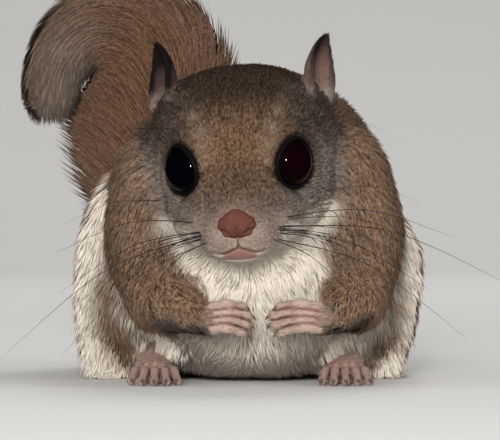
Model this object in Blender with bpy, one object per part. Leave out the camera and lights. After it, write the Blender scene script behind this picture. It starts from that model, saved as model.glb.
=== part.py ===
"""A southern flying squirrel, sitting hunched with its hands together, life size.

Each sub-part is one closed solid in its own object. The animal faces -Y, +Z is up, and lengths are metres.
Left and right are the animal's own, so its left side is at +X.
"""

import math

import bmesh
import bpy
import numpy as np
from mathutils import Euler, Matrix, Vector

# Units and the room that touching pieces keep
MM = 0.001
GAP = 0.3 * MM

# The head, in its own axes: -Y to the nose, the eyes' height at Z 0
HEAD_PLACE = Vector((-1.5, 17.2, 35.3)) * MM
HEAD_PITCH = math.radians(18)
HEAD_YAW = math.radians(-4.2)
HEAD_ROLL = math.radians(-3.6)
HEAD_SIDES = 26
HEAD_RINGS = 24
SEAT_SIDES = 14
SEAT_RINGS = 12
SEAT_GROW = 1.0 * MM
# Columns: place along Y, half width, lowest, widest and highest Z, squareness above and below the widest
HEAD_STATIONS = np.array(
    [
        (-19.2, 0.5, -6.4, -5.6, -4.8, 2.0, 2.0),
        (-18.5, 2.8, -8.6, -6.0, -3.0, 2.0, 2.0),
        (-17.0, 4.6, -11.0, -7.2, -1.6, 2.0, 2.1),
        (-14.8, 6.2, -12.3, -7.6, 0.2, 2.0, 2.2),
        (-12.0, 7.9, -13.2, -7.6, 2.9, 2.0, 2.2),
        (-8.0, 9.7, -13.9, -7.4, 6.4, 2.0, 2.2),
        (-4.0, 11.7, -14.4, -7.2, 9.2, 2.1, 2.2),
        (0.0, 13.7, -14.6, -6.8, 10.8, 2.2, 2.2),
        (4.0, 15.0, -14.7, -6.2, 11.6, 2.4, 2.2),
        (8.0, 15.4, -15.0, -5.4, 11.7, 2.5, 2.2),
        (12.0, 14.9, -14.0, -4.6, 11.0, 2.4, 2.2),
        (16.0, 12.9, -12.0, -3.8, 9.2, 2.2, 2.2),
        (19.5, 9.2, -9.0, -3.2, 5.4, 2.1, 2.1),
        (22.0, 1.2, -4.0, -3.0, -2.0, 2.0, 2.0),
    ]
)
# Soft swellings of the face: centre on the left side, reach and height
FACE_SWELLS = (
    ((4.4, -15.6, -8.6), 2.8, 0.8),
    ((0.0, -13.5, -13.4), 3.0, 0.5),
    ((12.5, 2.0, -9.0), 6.0, 0.6),
    ((6.6, -2.6, 7.4), 3.2, 0.6),
    ((0.0, -8.0, 6.0), 3.6, -0.5),
)

# Eyes: the ball, which way it looks, and the lids round it
EYE_CENTRE = Vector((6.15, -4.5, -0.3)) * MM
EYE_RADIUS = 4.7 * MM
EYE_OUTWARD = math.radians(50)
EYE_UPWARD = math.radians(8)
EYE_OPENING = 4.15 * MM
LID_THICKNESS = 0.6 * MM

# Nose pad and nostrils
NOSE_CENTRE = Vector((0.0, -18.2, -5.1)) * MM
NOSE_HALF = Vector((2.7, 1.7, 2.25)) * MM
NOSTRIL_PLACE = Vector((2.0, -19.2, -5.9)) * MM
NOSTRIL_HALF = Vector((0.75, 0.9, 0.42)) * MM

# Mouth: guide points that the lip groove follows on the skin, from the middle to the left corner
LIP_GUIDE = (
    (0.0, -17.0, -9.7),
    (1.3, -16.9, -10.2),
    (2.8, -16.3, -10.9),
    (4.8, -14.8, -11.2),
    (6.6, -12.6, -11.0),
)
PHILTRUM_GUIDE = ((0.0, -18.4, -7.6), (0.0, -17.8, -8.7), (0.0, -17.0, -9.7))
LIP_GROOVE = 0.36 * MM
LOWER_LIP_PLACE = Vector((0.0, -15.7, -11.3)) * MM
LOWER_LIP_HALF = Vector((2.4, 1.2, 0.9)) * MM

# Whiskers: a low pad on each side of the muzzle, and the hairs that grow from it
# Each hair has its root in the head's axes, on the left side, and its tip in the animal's axes
WHISKER_PAD_PLACE = Vector((5.7, -14.4, -7.8)) * MM
WHISKER_PAD_HALF = Vector((1.5, 3.0, 2.8)) * MM
WHISKER_PAD_TURN = math.radians(-33)
WHISKER_ROOTS = (
    (6.5, -12.8, -6.6),
    (5.6, -14.3, -7.4),
    (6.3, -12.9, -8.5),
    (5.4, -14.5, -9.0),
    (4.8, -15.7, -8.4),
)
WHISKER_TIPS = {
    "left": ((31, 3.5, 22.6), (38.5, -0.5, 15.8), (27, 4, 14.8), (32, -2.5, 8), (16.6, -3.5, 12.6)),
    "right": ((-29, 5.5, 20.5), (-28.6, 2, 14.4), (-36.5, 1, 5.4), (-28, -2.5, 5.2), (-15.6, -3.5, 14)),
}
WHISKER_RADII = (0.30, 0.27, 0.14)
WHISKER_RISE = 0.10

# Ears, in the head's axes
EAR_ROOT = Vector((10.9, 7.2, 3.2)) * MM
EAR_HEIGHT = 12.9 * MM
EAR_THICKNESS = 0.75 * MM
EAR_LEAN_OUT = {"left": math.radians(16), "right": math.radians(7.5)}
EAR_LEAN_BACK = math.radians(-13)
EAR_FACING = math.radians(62)
EAR_ROWS = 9
EAR_COLUMNS = 8
# Columns: share of the height, half width along the curve, half angle of the cup, lean back of the tip
EAR_STATIONS = np.array(
    [
        (0.00, 4.4, 100, 0.0),
        (0.20, 5.2, 92, -0.2),
        (0.42, 5.2, 80, -0.3),
        (0.62, 4.4, 68, -0.3),
        (0.80, 3.0, 58, -0.3),
        (0.93, 1.6, 50, -0.3),
        (1.00, 0.5, 46, -0.2),
    ]
)

# Torso, along Y: half width, lowest, widest and highest Z, squareness above and below
TORSO_STATIONS = np.array(
    [
        (13.6, 3.0, 12.0, 17.0, 22.0, 2.0, 2.0),
        (16.0, 10.0, 5.5, 17.0, 28.0, 2.1, 2.1),
        (20.5, 15.8, 2.4, 17.5, 33.0, 2.2, 2.2),
        (27.0, 19.8, 0.6, 18.5, 38.0, 2.2, 2.3),
        (35.0, 22.4, -0.4, 19.5, 43.4, 2.2, 2.4),
        (44.0, 23.7, -1.0, 19.5, 48.4, 2.2, 2.5),
        (53.0, 23.8, -1.2, 18.5, 49.6, 2.3, 2.6),
        (61.0, 22.6, -1.3, 17.5, 46.6, 2.3, 2.6),
        (69.0, 19.8, -1.1, 15.5, 40.4, 2.2, 2.5),
        (76.0, 15.0, -0.5, 13.0, 31.6, 2.1, 2.3),
        (81.0, 9.2, 1.4, 11.0, 22.8, 2.0, 2.1),
        (84.0, 2.0, 8.0, 10.5, 13.0, 2.0, 2.0),
    ]
)
TORSO_CENTRE_X = 0.6 * MM
TORSO_SIDES = 26
TORSO_RINGS = 18

# Everything that stands on the floor is cut flat at this height
FLOOR_Z = 0.0
FLOOR_BLOCK_MIDDLE = Vector((0.0, 50.0, 0.0)) * MM
FLOOR_BLOCK_SIZE = Vector((200.0, 300.0, 20.0)) * MM

# Neck: a short thick collar between the head and the shoulders
NECK_PATH = ((-1.0, 25.0, 32.0), (-0.4, 33.0, 32.2), (0.4, 41.0, 31.6))
NECK_WIDE = (16.0, 18.6, 19.0)
NECK_DEEP = (14.6, 15.5, 15.0)

# Arms: shoulder, elbow and wrist on each side, as the pose has them
ARM_JOINTS = {
    "left": {"shoulder": (15.0, 28.0, 31.5), "elbow": (16.4, 20.0, 14.2), "wrist": (13.3, 9.0, 10.8)},
    "right": {"shoulder": (-14.6, 28.0, 31.0), "elbow": (-14.2, 20.0, 13.8), "wrist": (-8.6, 8.4, 10.8)},
}
ARM_BOW = 1.4 * MM
UPPER_ARM_WIDE = (7.2, 7.2, 5.8)
UPPER_ARM_DEEP = (9.4, 8.2, 6.0)
FOREARM_RADII = (5.6, 4.5, 3.0)

# Hands: the palm's middle, and each finger's run from knuckle to tip
PALM_HALF = Vector((2.5, 2.0, 2.6)) * MM
FINGER_RADII = (0.95, 0.85, 0.65)
FINGER_HEIGHTS = (2.0, 0.7, -0.6, -1.9)
HAND_REACH = {"left": 7.4, "right": 5.9}
CLAW_LENGTH = 1.8 * MM
CLAW_RADIUS = 0.45 * MM
DIGIT_WIDE_AXIS = (0.1, 0.2, 1.0)

# Hind legs: hip to knee, then the long foot on the floor
LEG_PATH = ((15.2, 64.0, 16.0), (16.6, 53.0, 16.5), (17.0, 42.5, 14.0))
LEG_WIDE = (9.4, 10.4, 8.6)
LEG_DEEP = (13.0, 15.0, 12.4)
FOOT_HEEL = Vector((15.6, 42.0, 2.4)) * MM
FOOT_BALL = Vector((14.6, 21.0, 1.8)) * MM
SOLE_WIDE = (3.0, 3.1, 3.2)
SOLE_DEEP = (2.6, 2.8, 2.3)
TOE_ACROSS = (-2.3, -1.2, 0.0, 1.2, 2.3)
TOE_LENGTHS = (5.2, 7.0, 7.4, 7.0, 5.4)

# Gliding membrane: a soft wedge from the flank out to its thin edge, station by station up from the floor
# Columns: height, root X and Y, root radius, edge X and Y, edge radius
MEMBRANE_STATIONS = {
    "left": np.array(
        [
            (0.0, 17.0, 47.0, 7.0, 21.6, 37.0, 2.0),
            (5.0, 17.5, 48.5, 8.2, 23.0, 36.4, 1.8),
            (10.0, 17.8, 49.0, 8.8, 24.4, 35.8, 1.6),
            (15.0, 17.6, 48.0, 8.6, 25.6, 35.2, 1.5),
            (20.0, 17.2, 45.5, 7.6, 25.8, 34.6, 1.5),
            (24.0, 16.8, 42.5, 6.4, 24.2, 34.2, 1.5),
            (27.5, 16.4, 39.5, 4.6, 21.4, 34.2, 1.7),
        ]
    ),
    "right": np.array(
        [
            (0.0, 17.5, 47.0, 7.2, 24.0, 37.0, 2.0),
            (5.0, 18.0, 48.5, 8.4, 25.4, 36.4, 1.8),
            (10.0, 18.0, 49.0, 9.0, 26.2, 35.8, 1.6),
            (16.0, 17.8, 49.0, 8.8, 26.4, 35.2, 1.5),
            (23.0, 17.2, 46.5, 7.8, 25.8, 34.6, 1.5),
            (28.5, 16.8, 43.0, 6.4, 23.8, 34.2, 1.5),
            (32.5, 16.4, 40.0, 4.6, 20.8, 34.2, 1.7),
        ]
    ),
}
MEMBRANE_ROWS = 11

# Tail: its middle line from the rump, up behind the body and over to the right in a hook
TAIL_LINE = np.array(
    [
        (1.0, 81.0, 9.4),
        (-3.5, 88.5, 13.5),
        (-9.5, 92.5, 24.0),
        (-13.5, 91.5, 35.5),
        (-15.8, 89.5, 46.0),
        (-19.0, 86.6, 53.4),
        (-24.2, 84.0, 56.8),
        (-29.4, 82.2, 55.2),
        (-32.6, 81.2, 50.6),
        (-33.8, 80.8, 45.6),
        (-34.0, 80.6, 42.0),
    ]
)
# At each point of that line: reach of the hair to the left and the right, half thickness, degrees of twist
TAIL_FORM = np.array(
    [
        (9.0, 9.0, 4.6, 0),
        (13.0, 13.0, 4.4, 0),
        (15.0, 13.4, 4.0, 0),
        (15.8, 16.2, 3.7, 0),
        (16.0, 15.0, 3.5, 0),
        (14.6, 9.6, 3.4, 8),
        (11.2, 6.6, 3.3, 22),
        (9.0, 5.4, 3.2, 38),
        (8.2, 5.6, 3.1, 50),
        (7.6, 6.0, 2.8, 56),
        (6.6, 5.8, 1.8, 58),
    ]
)
TAIL_NAMES = ("tail_base", "tail_middle", "tail_upper", "tail_tip")
TAIL_CUTS = (0.0, 0.27, 0.50, 0.72, 1.0)
TAIL_RUN = 82.0
TAIL_CORE = 0.5
TAIL_CORE_THICKNESS = 0.72
TAIL_CORE_SIDES = 12

# The locks of the tail's fringe, in millimetres: how far apart they start, how far along the tail they run,
# half width and half thickness from root to tip, and how far the two layers stand apart
LOCK_SPACING = 4.4
LOCK_FORWARD = 13.0
LOCK_HALF_WIDTH = (2.2, 3.3, 3.1, 2.1, 0.4)
LOCK_HALF_THICKNESS = (0.7, 0.85, 0.8, 0.6, 0.25)
LOCK_LAYER = 0.7
LOCK_RINGS = 4
LOCK_ROOT = 0.25
LOCK_SEED = 11
# The fan of locks at the tip: where it starts, how long it is and the way each lock leans
FAN_START = 0.9
FAN_LENGTH = 10.5
FAN_LEANS = (-0.6, -0.2, 0.2, 0.6)
# On the inner side of the hook the locks start farther apart, and none starts where it bends most
HOOK_START = 0.56
HOOK_OPENS = 0.80
# The cuts that part the lengths: how far each block reaches across and ahead, and front to back
CUT_REACH = 22.0
CUT_DEPTH = 20.0
CUT_MARGIN = 4.0


def clear_scene():
    """Takes away the objects that a new file starts with."""
    for thing in list(bpy.data.objects):
        bpy.data.objects.remove(thing, do_unlink=True)


def finish_material(name, colour, roughness):
    """A plain Principled material in the sub-part's own colour."""
    made = bpy.data.materials.new(name)
    made.use_nodes = True
    shader = made.node_tree.nodes["Principled BSDF"]
    shader.inputs["Base Color"].default_value = (*colour, 1.0)
    shader.inputs["Roughness"].default_value = roughness
    shader.inputs["Metallic"].default_value = 0.0
    return made


def solid(name, points, faces):
    """An object whose mesh has these points and faces, all facing out."""
    mesh = bpy.data.meshes.new(name)
    mesh.from_pydata([tuple(p) for p in points], [], faces)
    shape = bmesh.new()
    shape.from_mesh(mesh)
    bmesh.ops.triangulate(shape, faces=shape.faces[:])
    bmesh.ops.recalc_face_normals(shape, faces=shape.faces[:])
    shape.to_mesh(mesh)
    shape.free()
    thing = bpy.data.objects.new(name, mesh)
    bpy.context.scene.collection.objects.link(thing)
    return thing


def through(rows, count):
    """Rows read at even steps along a smooth curve that passes through every given row."""
    rows = np.asarray(rows, float)
    last = len(rows) - 1
    made = []
    for step in np.linspace(0.0, last, count):
        i = min(int(step), last - 1)
        u = step - i
        a, b, c, d = (rows[min(max(i + k, 0), last)] for k in (-1, 0, 1, 2))
        bend = (2 * a - 5 * b + 4 * c - d) * u**2 + (3 * b - a - 3 * c + d) * u**3
        made.append(0.5 * (2 * b + (c - a) * u + bend))
    return np.array(made)


def lofted(name, rings, start, end):
    """A closed skin over rings of equally many points, drawn together to a point at each end."""
    sides = len(rings[0])
    points = [start] + [p for ring in rings for p in ring] + [end]
    faces = []
    for j in range(sides):
        k = (j + 1) % sides
        faces.append((0, 1 + k, 1 + j))
        for i in range(len(rings) - 1):
            low, high = 1 + i * sides, 1 + (i + 1) * sides
            faces.append((low + j, low + k, high + k, high + j))
        top = 1 + (len(rings) - 1) * sides
        faces.append((top + j, top + k, len(points) - 1))
    return solid(name, points, faces)


def egg_loft(name, stations, rings, sides, grow=0.0, centre_x=0.0):
    """A body along Y whose sections are egg-shaped, each with its own width, heights and squareness."""
    rows = through(stations, rings)
    angle = np.linspace(0.0, 2 * math.pi, sides, endpoint=False) + math.pi / sides
    across, up = np.cos(angle), np.sin(angle)
    made = []
    for i, (y, half, low, widest, high, square_up, square_down) in enumerate(rows):
        power = 2.0 / np.where(up > 0, square_up, square_down)
        y = y + (grow / MM) * (2 * i / (rings - 1) - 1)
        half, low, high = half + grow / MM, low - grow / MM, high + grow / MM
        x = half * np.sign(across) * np.abs(across) ** power
        rise = np.where(up > 0, high - widest, widest - low)
        z = widest + rise * np.sign(up) * np.abs(up) ** power
        made.append(np.stack([x * MM + centre_x, np.full(sides, y * MM), z * MM], axis=1))
    return lofted(name, made, made[0].mean(axis=0), made[-1].mean(axis=0))


def limb(name, path, wide, deep, sides=14, rings=7, caps=3, grow=0.0, wide_axis=(1.0, 0.0, 0.0)):
    """A tapered limb of oval section along a smooth path, rounded at both ends. Sizes are in millimetres."""
    rows = through(np.column_stack([path, wide, deep]), rings)
    centres, wides, deeps = rows[:, :3] * MM, rows[:, 3] * MM + grow, rows[:, 4] * MM + grow
    runs = np.gradient(centres, axis=0)
    runs /= np.linalg.norm(runs, axis=1)[:, None]
    spots = []
    for cap in range(caps, 0, -1):
        turn = math.pi / 2 * cap / (caps + 1)
        back = centres[0] - runs[0] * math.sin(turn) * deeps[0]
        spots.append((back, runs[0], math.cos(turn) * wides[0], math.cos(turn) * deeps[0]))
    spots += list(zip(centres, runs, wides, deeps))
    for cap in range(1, caps + 1):
        turn = math.pi / 2 * cap / (caps + 1)
        ahead = centres[-1] + runs[-1] * math.sin(turn) * deeps[-1]
        spots.append((ahead, runs[-1], math.cos(turn) * wides[-1], math.cos(turn) * deeps[-1]))
    angle = np.linspace(0.0, 2 * math.pi, sides, endpoint=False)
    made = []
    for centre, run, half_wide, half_deep in spots:
        side = np.array(wide_axis) - np.dot(wide_axis, run) * run
        side /= np.linalg.norm(side)
        over = np.cross(run, side)
        ring = np.outer(np.cos(angle) * half_wide, side) + np.outer(np.sin(angle) * half_deep, over)
        made.append(centre + ring)
    return lofted(name, made, centres[0] - runs[0] * deeps[0], centres[-1] + runs[-1] * deeps[-1])


def ball(name, centre, half, grow=0.0, columns=16, rows=10, turn=(0.0, 0.0, 0.0)):
    """An ellipsoid with the given half sizes, turned about its own centre."""
    shape = bmesh.new()
    bmesh.ops.create_uvsphere(shape, u_segments=columns, v_segments=rows, radius=1.0)
    size = Matrix.Diagonal((half[0] + grow, half[1] + grow, half[2] + grow, 1.0))
    place = Matrix.Translation(centre) @ Euler(turn).to_matrix().to_4x4() @ size
    bmesh.ops.transform(shape, matrix=place, verts=shape.verts[:])
    bmesh.ops.triangulate(shape, faces=shape.faces[:])
    mesh = bpy.data.meshes.new(name)
    shape.to_mesh(mesh)
    shape.free()
    thing = bpy.data.objects.new(name, mesh)
    bpy.context.scene.collection.objects.link(thing)
    return thing


def settled(thing):
    """Applies the modifiers and keeps only the largest closed surface."""
    bpy.context.view_layer.update()
    graph = bpy.context.evaluated_depsgraph_get()
    mesh = bpy.data.meshes.new_from_object(thing.evaluated_get(graph))
    thing.modifiers.clear()
    thing.data = mesh
    shape = bmesh.new()
    shape.from_mesh(mesh)
    bmesh.ops.remove_doubles(shape, verts=shape.verts[:], dist=0.002 * MM)
    bmesh.ops.dissolve_degenerate(shape, edges=shape.edges[:], dist=0.002 * MM)
    bmesh.ops.triangulate(shape, faces=shape.faces[:])
    unseen = set(shape.faces)
    islands = []
    while unseen:
        island, edge = set(), [unseen.pop()]
        while edge:
            face = edge.pop()
            island.add(face)
            for line in face.edges:
                for near in line.link_faces:
                    if near in unseen:
                        unseen.discard(near)
                        edge.append(near)
        islands.append(island)
    keep = max(islands, key=lambda faces: sum(f.calc_area() for f in faces))
    spare = [f for island in islands if island is not keep for f in island]
    bmesh.ops.delete(shape, geom=spare, context="FACES")
    shape.to_mesh(mesh)
    shape.free()
    return thing


def boolean(thing, others, operation, solver):
    """Joins or cuts a closed object with a collection of closed objects, which are then removed."""
    tools = bpy.data.collections.new("tools")
    bpy.context.scene.collection.children.link(tools)
    for other in others:
        for home in list(other.users_collection):
            home.objects.unlink(other)
        tools.objects.link(other)
    change = thing.modifiers.new(operation.lower(), "BOOLEAN")
    change.operation = operation
    change.operand_type = "COLLECTION"
    change.collection = tools
    change.solver = solver
    settled(thing)
    for other in others:
        bpy.data.objects.remove(other, do_unlink=True)
    bpy.data.collections.remove(tools)
    return thing


def joined(thing, others, solver="EXACT"):
    return boolean(thing, others, "UNION", solver)


def cut(thing, others, solver="EXACT"):
    return boolean(thing, others, "DIFFERENCE", solver)


def floor_cutter():
    """A block whose top is the floor, which leaves flats under all that stands."""
    shape = bmesh.new()
    bmesh.ops.create_cube(shape, size=1.0)
    middle = FLOOR_BLOCK_MIDDLE - Vector((0.0, 0.0, FLOOR_BLOCK_SIZE.z / 2 - FLOOR_Z))
    place = Matrix.Translation(middle) @ Matrix.Diagonal((*FLOOR_BLOCK_SIZE, 1.0))
    bmesh.ops.transform(shape, matrix=place, verts=shape.verts[:])
    mesh = bpy.data.meshes.new("floor")
    shape.to_mesh(mesh)
    shape.free()
    thing = bpy.data.objects.new("floor", mesh)
    bpy.context.scene.collection.objects.link(thing)
    return thing


def dressed(thing, material):
    """Smooth shading and the sub-part's material."""
    thing.data.shade_smooth()
    thing.data.set_sharp_from_angle(angle=math.radians(50))
    thing.data.materials.clear()
    thing.data.materials.append(material)
    return thing


def head_matrix():
    """From the head's own axes to the animal's."""
    turn = Euler((HEAD_PITCH, HEAD_ROLL, HEAD_YAW), "XYZ").to_matrix().to_4x4()
    return Matrix.Translation(HEAD_PLACE) @ turn


def placed(thing, matrix):
    """Moves a shape made in a sub-part's own axes to its place."""
    thing.data.transform(matrix)
    return thing


def mirrored(vector, side):
    """The same place on the left (+X) or the right (-X) side."""
    sign = 1.0 if side == "left" else -1.0
    return Vector((vector[0] * sign, vector[1], vector[2]))


def torso_shape(grow=0.0):
    return egg_loft("torso", TORSO_STATIONS, TORSO_RINGS, TORSO_SIDES, grow, TORSO_CENTRE_X)


def head_seat():
    """The hollow in the torso that the back of the head sits in, with few faces and a little larger."""
    return placed(egg_loft("seat", HEAD_STATIONS, SEAT_RINGS, SEAT_SIDES, SEAT_GROW), head_matrix())


def head_shape(grow=0.0):
    """The head's outer form with its soft swellings, in the animal's axes."""
    head = egg_loft("head", HEAD_STATIONS, HEAD_RINGS, HEAD_SIDES, grow)
    for side in ("left", "right"):
        for place, reach, height in FACE_SWELLS:
            if place[0] == 0.0 and side == "right":
                continue
            centre = mirrored(Vector(place) * MM, side)
            for point in head.data.vertices:
                share = math.exp(-(((point.co - centre).length / (reach * MM)) ** 2))
                point.co += point.normal * height * MM * share
    return placed(head, head_matrix())


def neck_shape(grow=0.0):
    return limb("neck", NECK_PATH, NECK_WIDE, NECK_DEEP, sides=20, rings=4, grow=grow)


def upper_arm_shape(side, grow=0.0):
    joints = ARM_JOINTS[side]
    middle = (np.array(joints["shoulder"]) + joints["elbow"]) / 2
    middle[0] += (ARM_BOW if side == "left" else -ARM_BOW) / MM
    path = (joints["shoulder"], middle, joints["elbow"])
    return limb(f"upper_arm_{side}", path, UPPER_ARM_WIDE, UPPER_ARM_DEEP, grow=grow)


def forearm_shape(side, grow=0.0):
    joints = ARM_JOINTS[side]
    middle = (np.array(joints["elbow"]) + joints["wrist"]) / 2
    path = (joints["elbow"], middle, joints["wrist"])
    return limb(f"forearm_{side}", path, FOREARM_RADII, FOREARM_RADII, sides=12, rings=6, caps=2, grow=grow)


def leg_shape(side, grow=0.0):
    path = [tuple(mirrored(p, side)) for p in LEG_PATH]
    return limb(f"hind_leg_{side}", path, LEG_WIDE, LEG_DEEP, sides=16, rings=7, grow=grow)


def eye_axis(side):
    """The way the eye looks, in the head's axes."""
    flat = Vector((math.sin(EYE_OUTWARD), -math.cos(EYE_OUTWARD), 0.0)) * math.cos(EYE_UPWARD)
    return mirrored(flat + Vector((0.0, 0.0, math.sin(EYE_UPWARD))), side)


def eye_shape(side, grow=0.0):
    size = [EYE_RADIUS + grow] * 3
    eye = ball(f"eye_{side}", mirrored(EYE_CENTRE, side), size, columns=14, rows=9)
    return placed(eye, head_matrix())


def lid_shape(side):
    """A soft ring that frames the eye's opening."""
    forward = math.sqrt(EYE_RADIUS**2 - EYE_OPENING**2)
    axis = eye_axis(side)
    turn = axis.to_track_quat("Z", "Y").to_matrix().to_4x4()
    rings, sides = 18, 5
    made = []
    for a in np.linspace(0.0, 2 * math.pi, rings, endpoint=False):
        out = np.array((math.cos(a), math.sin(a), 0.0))
        around = np.linspace(0.0, 2 * math.pi, sides, endpoint=False)
        ring = np.outer(EYE_OPENING + LID_THICKNESS * 0.55 + LID_THICKNESS * np.cos(around), out)
        ring[:, 2] = LID_THICKNESS * np.sin(around)
        made.append(ring)
    points = [p for ring in made for p in ring]
    faces = []
    for i in range(rings):
        for j in range(sides):
            k, n = (j + 1) % sides, (i + 1) % rings
            faces.append((i * sides + j, i * sides + k, n * sides + k, n * sides + j))
    lid = solid("lid", points, faces)
    place = Matrix.Translation(mirrored(EYE_CENTRE, side) + axis * forward) @ turn
    return placed(placed(lid, place), head_matrix())


def nose_shape(grow=0.0):
    nose = ball("nose", NOSE_CENTRE, NOSE_HALF, grow, columns=14, rows=8)
    for point in nose.data.vertices:
        low = (NOSE_CENTRE.z - point.co.z) / NOSE_HALF.z
        point.co.x *= 1.0 + 0.16 * low
    return placed(nose, head_matrix())


def laid_on(head, guide):
    """The points of the head's surface nearest to guide points, in millimetres and in the head's axes."""
    inverse = head_matrix().inverted()
    local = head.data.copy()
    local.transform(inverse)
    probe = bpy.data.objects.new("probe", local)
    bpy.context.scene.collection.objects.link(probe)
    bpy.context.view_layer.update()
    laid = []
    for point in guide:
        nearest = probe.closest_point_on_mesh(Vector(point) * MM)[1]
        laid.append(tuple(nearest / MM))
    bpy.data.objects.remove(probe, do_unlink=True)
    return laid


def groove(head, guide, radius):
    """A thin round cutter that follows guide points laid on the head's surface."""
    laid = laid_on(head, guide)
    size = [radius / MM] * len(laid)
    made = limb("groove", laid, size, size, sides=5, rings=len(laid) + 2, caps=1, wide_axis=(0.05, 0.3, 1.0))
    return placed(made, head_matrix())


def build_head(fur):
    """The head: its form, lids and lower lip joined, then the sockets, nose seat and mouth line cut."""
    head = head_shape()
    lip = placed(ball("lip", LOWER_LIP_PLACE, LOWER_LIP_HALF, columns=12, rows=7), head_matrix())
    joined(head, [lid_shape("left"), lid_shape("right"), lip])
    left_lip = LIP_GUIDE
    right_lip = tuple((-x, y, z) for x, y, z in LIP_GUIDE)
    whole_lip = tuple(reversed(right_lip)) + left_lip[1:]
    cutters = [eye_shape("left", GAP), eye_shape("right", GAP), nose_shape(GAP)]
    cutters += [groove(head, whole_lip, LIP_GROOVE), groove(head, PHILTRUM_GUIDE, LIP_GROOVE)]
    cut(head, cutters)
    return dressed(head, fur)


def ear_shape(side):
    """A thin leaf rolled into a cup, open to the front and side, with its tip bent back."""
    rows = through(EAR_STATIONS, EAR_ROWS)
    columns, count = EAR_COLUMNS, EAR_ROWS
    inner, outer = [], []
    for share, half_run, half_angle, lean in rows:
        span = math.radians(half_angle)
        radius = half_run * MM / span
        thick = min(EAR_THICKNESS, radius * 0.8) / 2
        for a in np.linspace(-span, span, columns):
            for shell, r in ((inner, radius - thick), (outer, radius + thick)):
                back = r * math.cos(a) - radius * 0.4 + lean * MM
                shell.append((r * math.sin(a), back, share * EAR_HEIGHT))
    offset = len(inner)
    faces = []
    for i in range(count - 1):
        for j in range(columns - 1):
            a = i * columns + j
            b, c, d = a + 1, a + columns + 1, a + columns
            faces.append((a, b, c, d))
            faces.append((offset + a, offset + d, offset + c, offset + b))
    rim = list(range(columns))
    rim += [i * columns + columns - 1 for i in range(1, count)]
    rim += [(count - 1) * columns + j for j in range(columns - 2, -1, -1)]
    rim += [i * columns for i in range(count - 2, 0, -1)]
    for a, b in zip(rim, rim[1:] + rim[:1]):
        faces.append((a, offset + a, offset + b, b))
    ear = solid(f"ear_{side}", inner + outer, faces)
    sign = 1.0 if side == "left" else -1.0
    lean = Euler((EAR_LEAN_BACK, EAR_LEAN_OUT[side] * sign, 0.0), "XYZ").to_matrix().to_4x4()
    facing = Matrix.Rotation(EAR_FACING * sign, 4, "Z")
    placed(ear, Matrix.Translation(mirrored(EAR_ROOT, side)) @ lean @ facing)
    return placed(ear, head_matrix())


def build_head_pieces(materials):
    """Nose, eyes and ears, each set against the head."""
    nose = nose_shape()
    nostrils = []
    for side, tilt in (("left", 0.5), ("right", -0.5)):
        centre = mirrored(NOSTRIL_PLACE, side)
        nostril = ball("nostril", centre, NOSTRIL_HALF, columns=6, rows=4, turn=(0.0, tilt, 0.0))
        nostrils.append(placed(nostril, head_matrix()))
    dressed(cut(nose, nostrils), materials["nose"])
    for side in ("left", "right"):
        dressed(eye_shape(side), materials["eye"])
        dressed(cut(ear_shape(side), [head_shape(GAP), neck_shape(GAP)]), materials["ear"])


def build_whiskers(side, hair):
    """The whisker pad of one side with its hairs, which rise a little from the muzzle and then sink."""
    head = head_shape()
    roots = laid_on(head, [mirrored(root, side) for root in WHISKER_ROOTS])
    middle = Vector(laid_on(head, [mirrored(WHISKER_PAD_PLACE, side) / MM])[0]) * MM
    bpy.data.objects.remove(head, do_unlink=True)
    turn = WHISKER_PAD_TURN if side == "left" else -WHISKER_PAD_TURN
    pad = ball("pad", middle, WHISKER_PAD_HALF, columns=12, rows=8, turn=(0.0, 0.0, turn))
    placed(pad, head_matrix())
    hairs = []
    for root, tip in zip(roots, WHISKER_TIPS[side]):
        start = np.array(head_matrix() @ (Vector(root) * MM)) / MM
        bend = (start + tip) / 2
        bend[2] += WHISKER_RISE * np.linalg.norm(np.array(tip) - start)
        path, size = (start, bend, tip), WHISKER_RADII
        hairs.append(limb("hair", path, size, size, sides=3, rings=6, caps=0, wide_axis=DIGIT_WIDE_AXIS))
    whiskers = joined(pad, hairs)
    whiskers.name = f"whiskers_{side}"
    dressed(cut(whiskers, [head_shape(GAP)]), hair)


def finger(side, knuckle, bend, tip, claw_way):
    """One digit of three bones as a tapered limb, and its claw as a bent cone."""
    radii = FINGER_RADII
    path = (knuckle, bend, tip)
    digit = limb("digit", path, radii, radii, sides=6, rings=3, caps=1, wide_axis=DIGIT_WIDE_AXIS)
    tip = np.array(tip, float)
    way = np.array(claw_way, float)
    way /= np.linalg.norm(way)
    reach = CLAW_LENGTH / MM
    path = (tip - way * 0.2, tip + way * 0.55 * reach, tip + way * reach - np.array((0, 0, 0.45)))
    size = CLAW_RADIUS / MM
    sizes = (size, size * 0.8, 0.16)
    claw = limb("claw", path, sizes, sizes, sides=4, rings=3, caps=0, wide_axis=DIGIT_WIDE_AXIS)
    return [digit, claw]


def hand_pieces(side):
    """Palm and four fingers, reaching in to the middle as if round a nut."""
    wrist = np.array(ARM_JOINTS[side]["wrist"])
    inward = -1.0 if side == "left" else 1.0
    reach = HAND_REACH[side]
    palm_centre = wrist + np.array((inward * 2.2, -1.2, -0.2))
    turn = (0.0, 0.3 * inward, 0.0)
    palm = ball("palm", Vector(palm_centre) * MM, PALM_HALF, columns=10, rows=6, turn=turn)
    pieces = [palm]
    for number, height in enumerate(FINGER_HEIGHTS):
        length = reach * (0.86, 1.0, 0.97, 0.84)[number]
        knuckle = palm_centre + np.array((inward * 0.8, -0.9, height * 0.8))
        tip = palm_centre + np.array((inward * length, -1.4, height * 1.05 - 0.3))
        bend = (knuckle + tip) / 2 + np.array((0.0, -1.5, 0.5))
        pieces += finger(side, knuckle, bend, tip, (inward, 0.9, -0.2))
    return pieces


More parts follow.
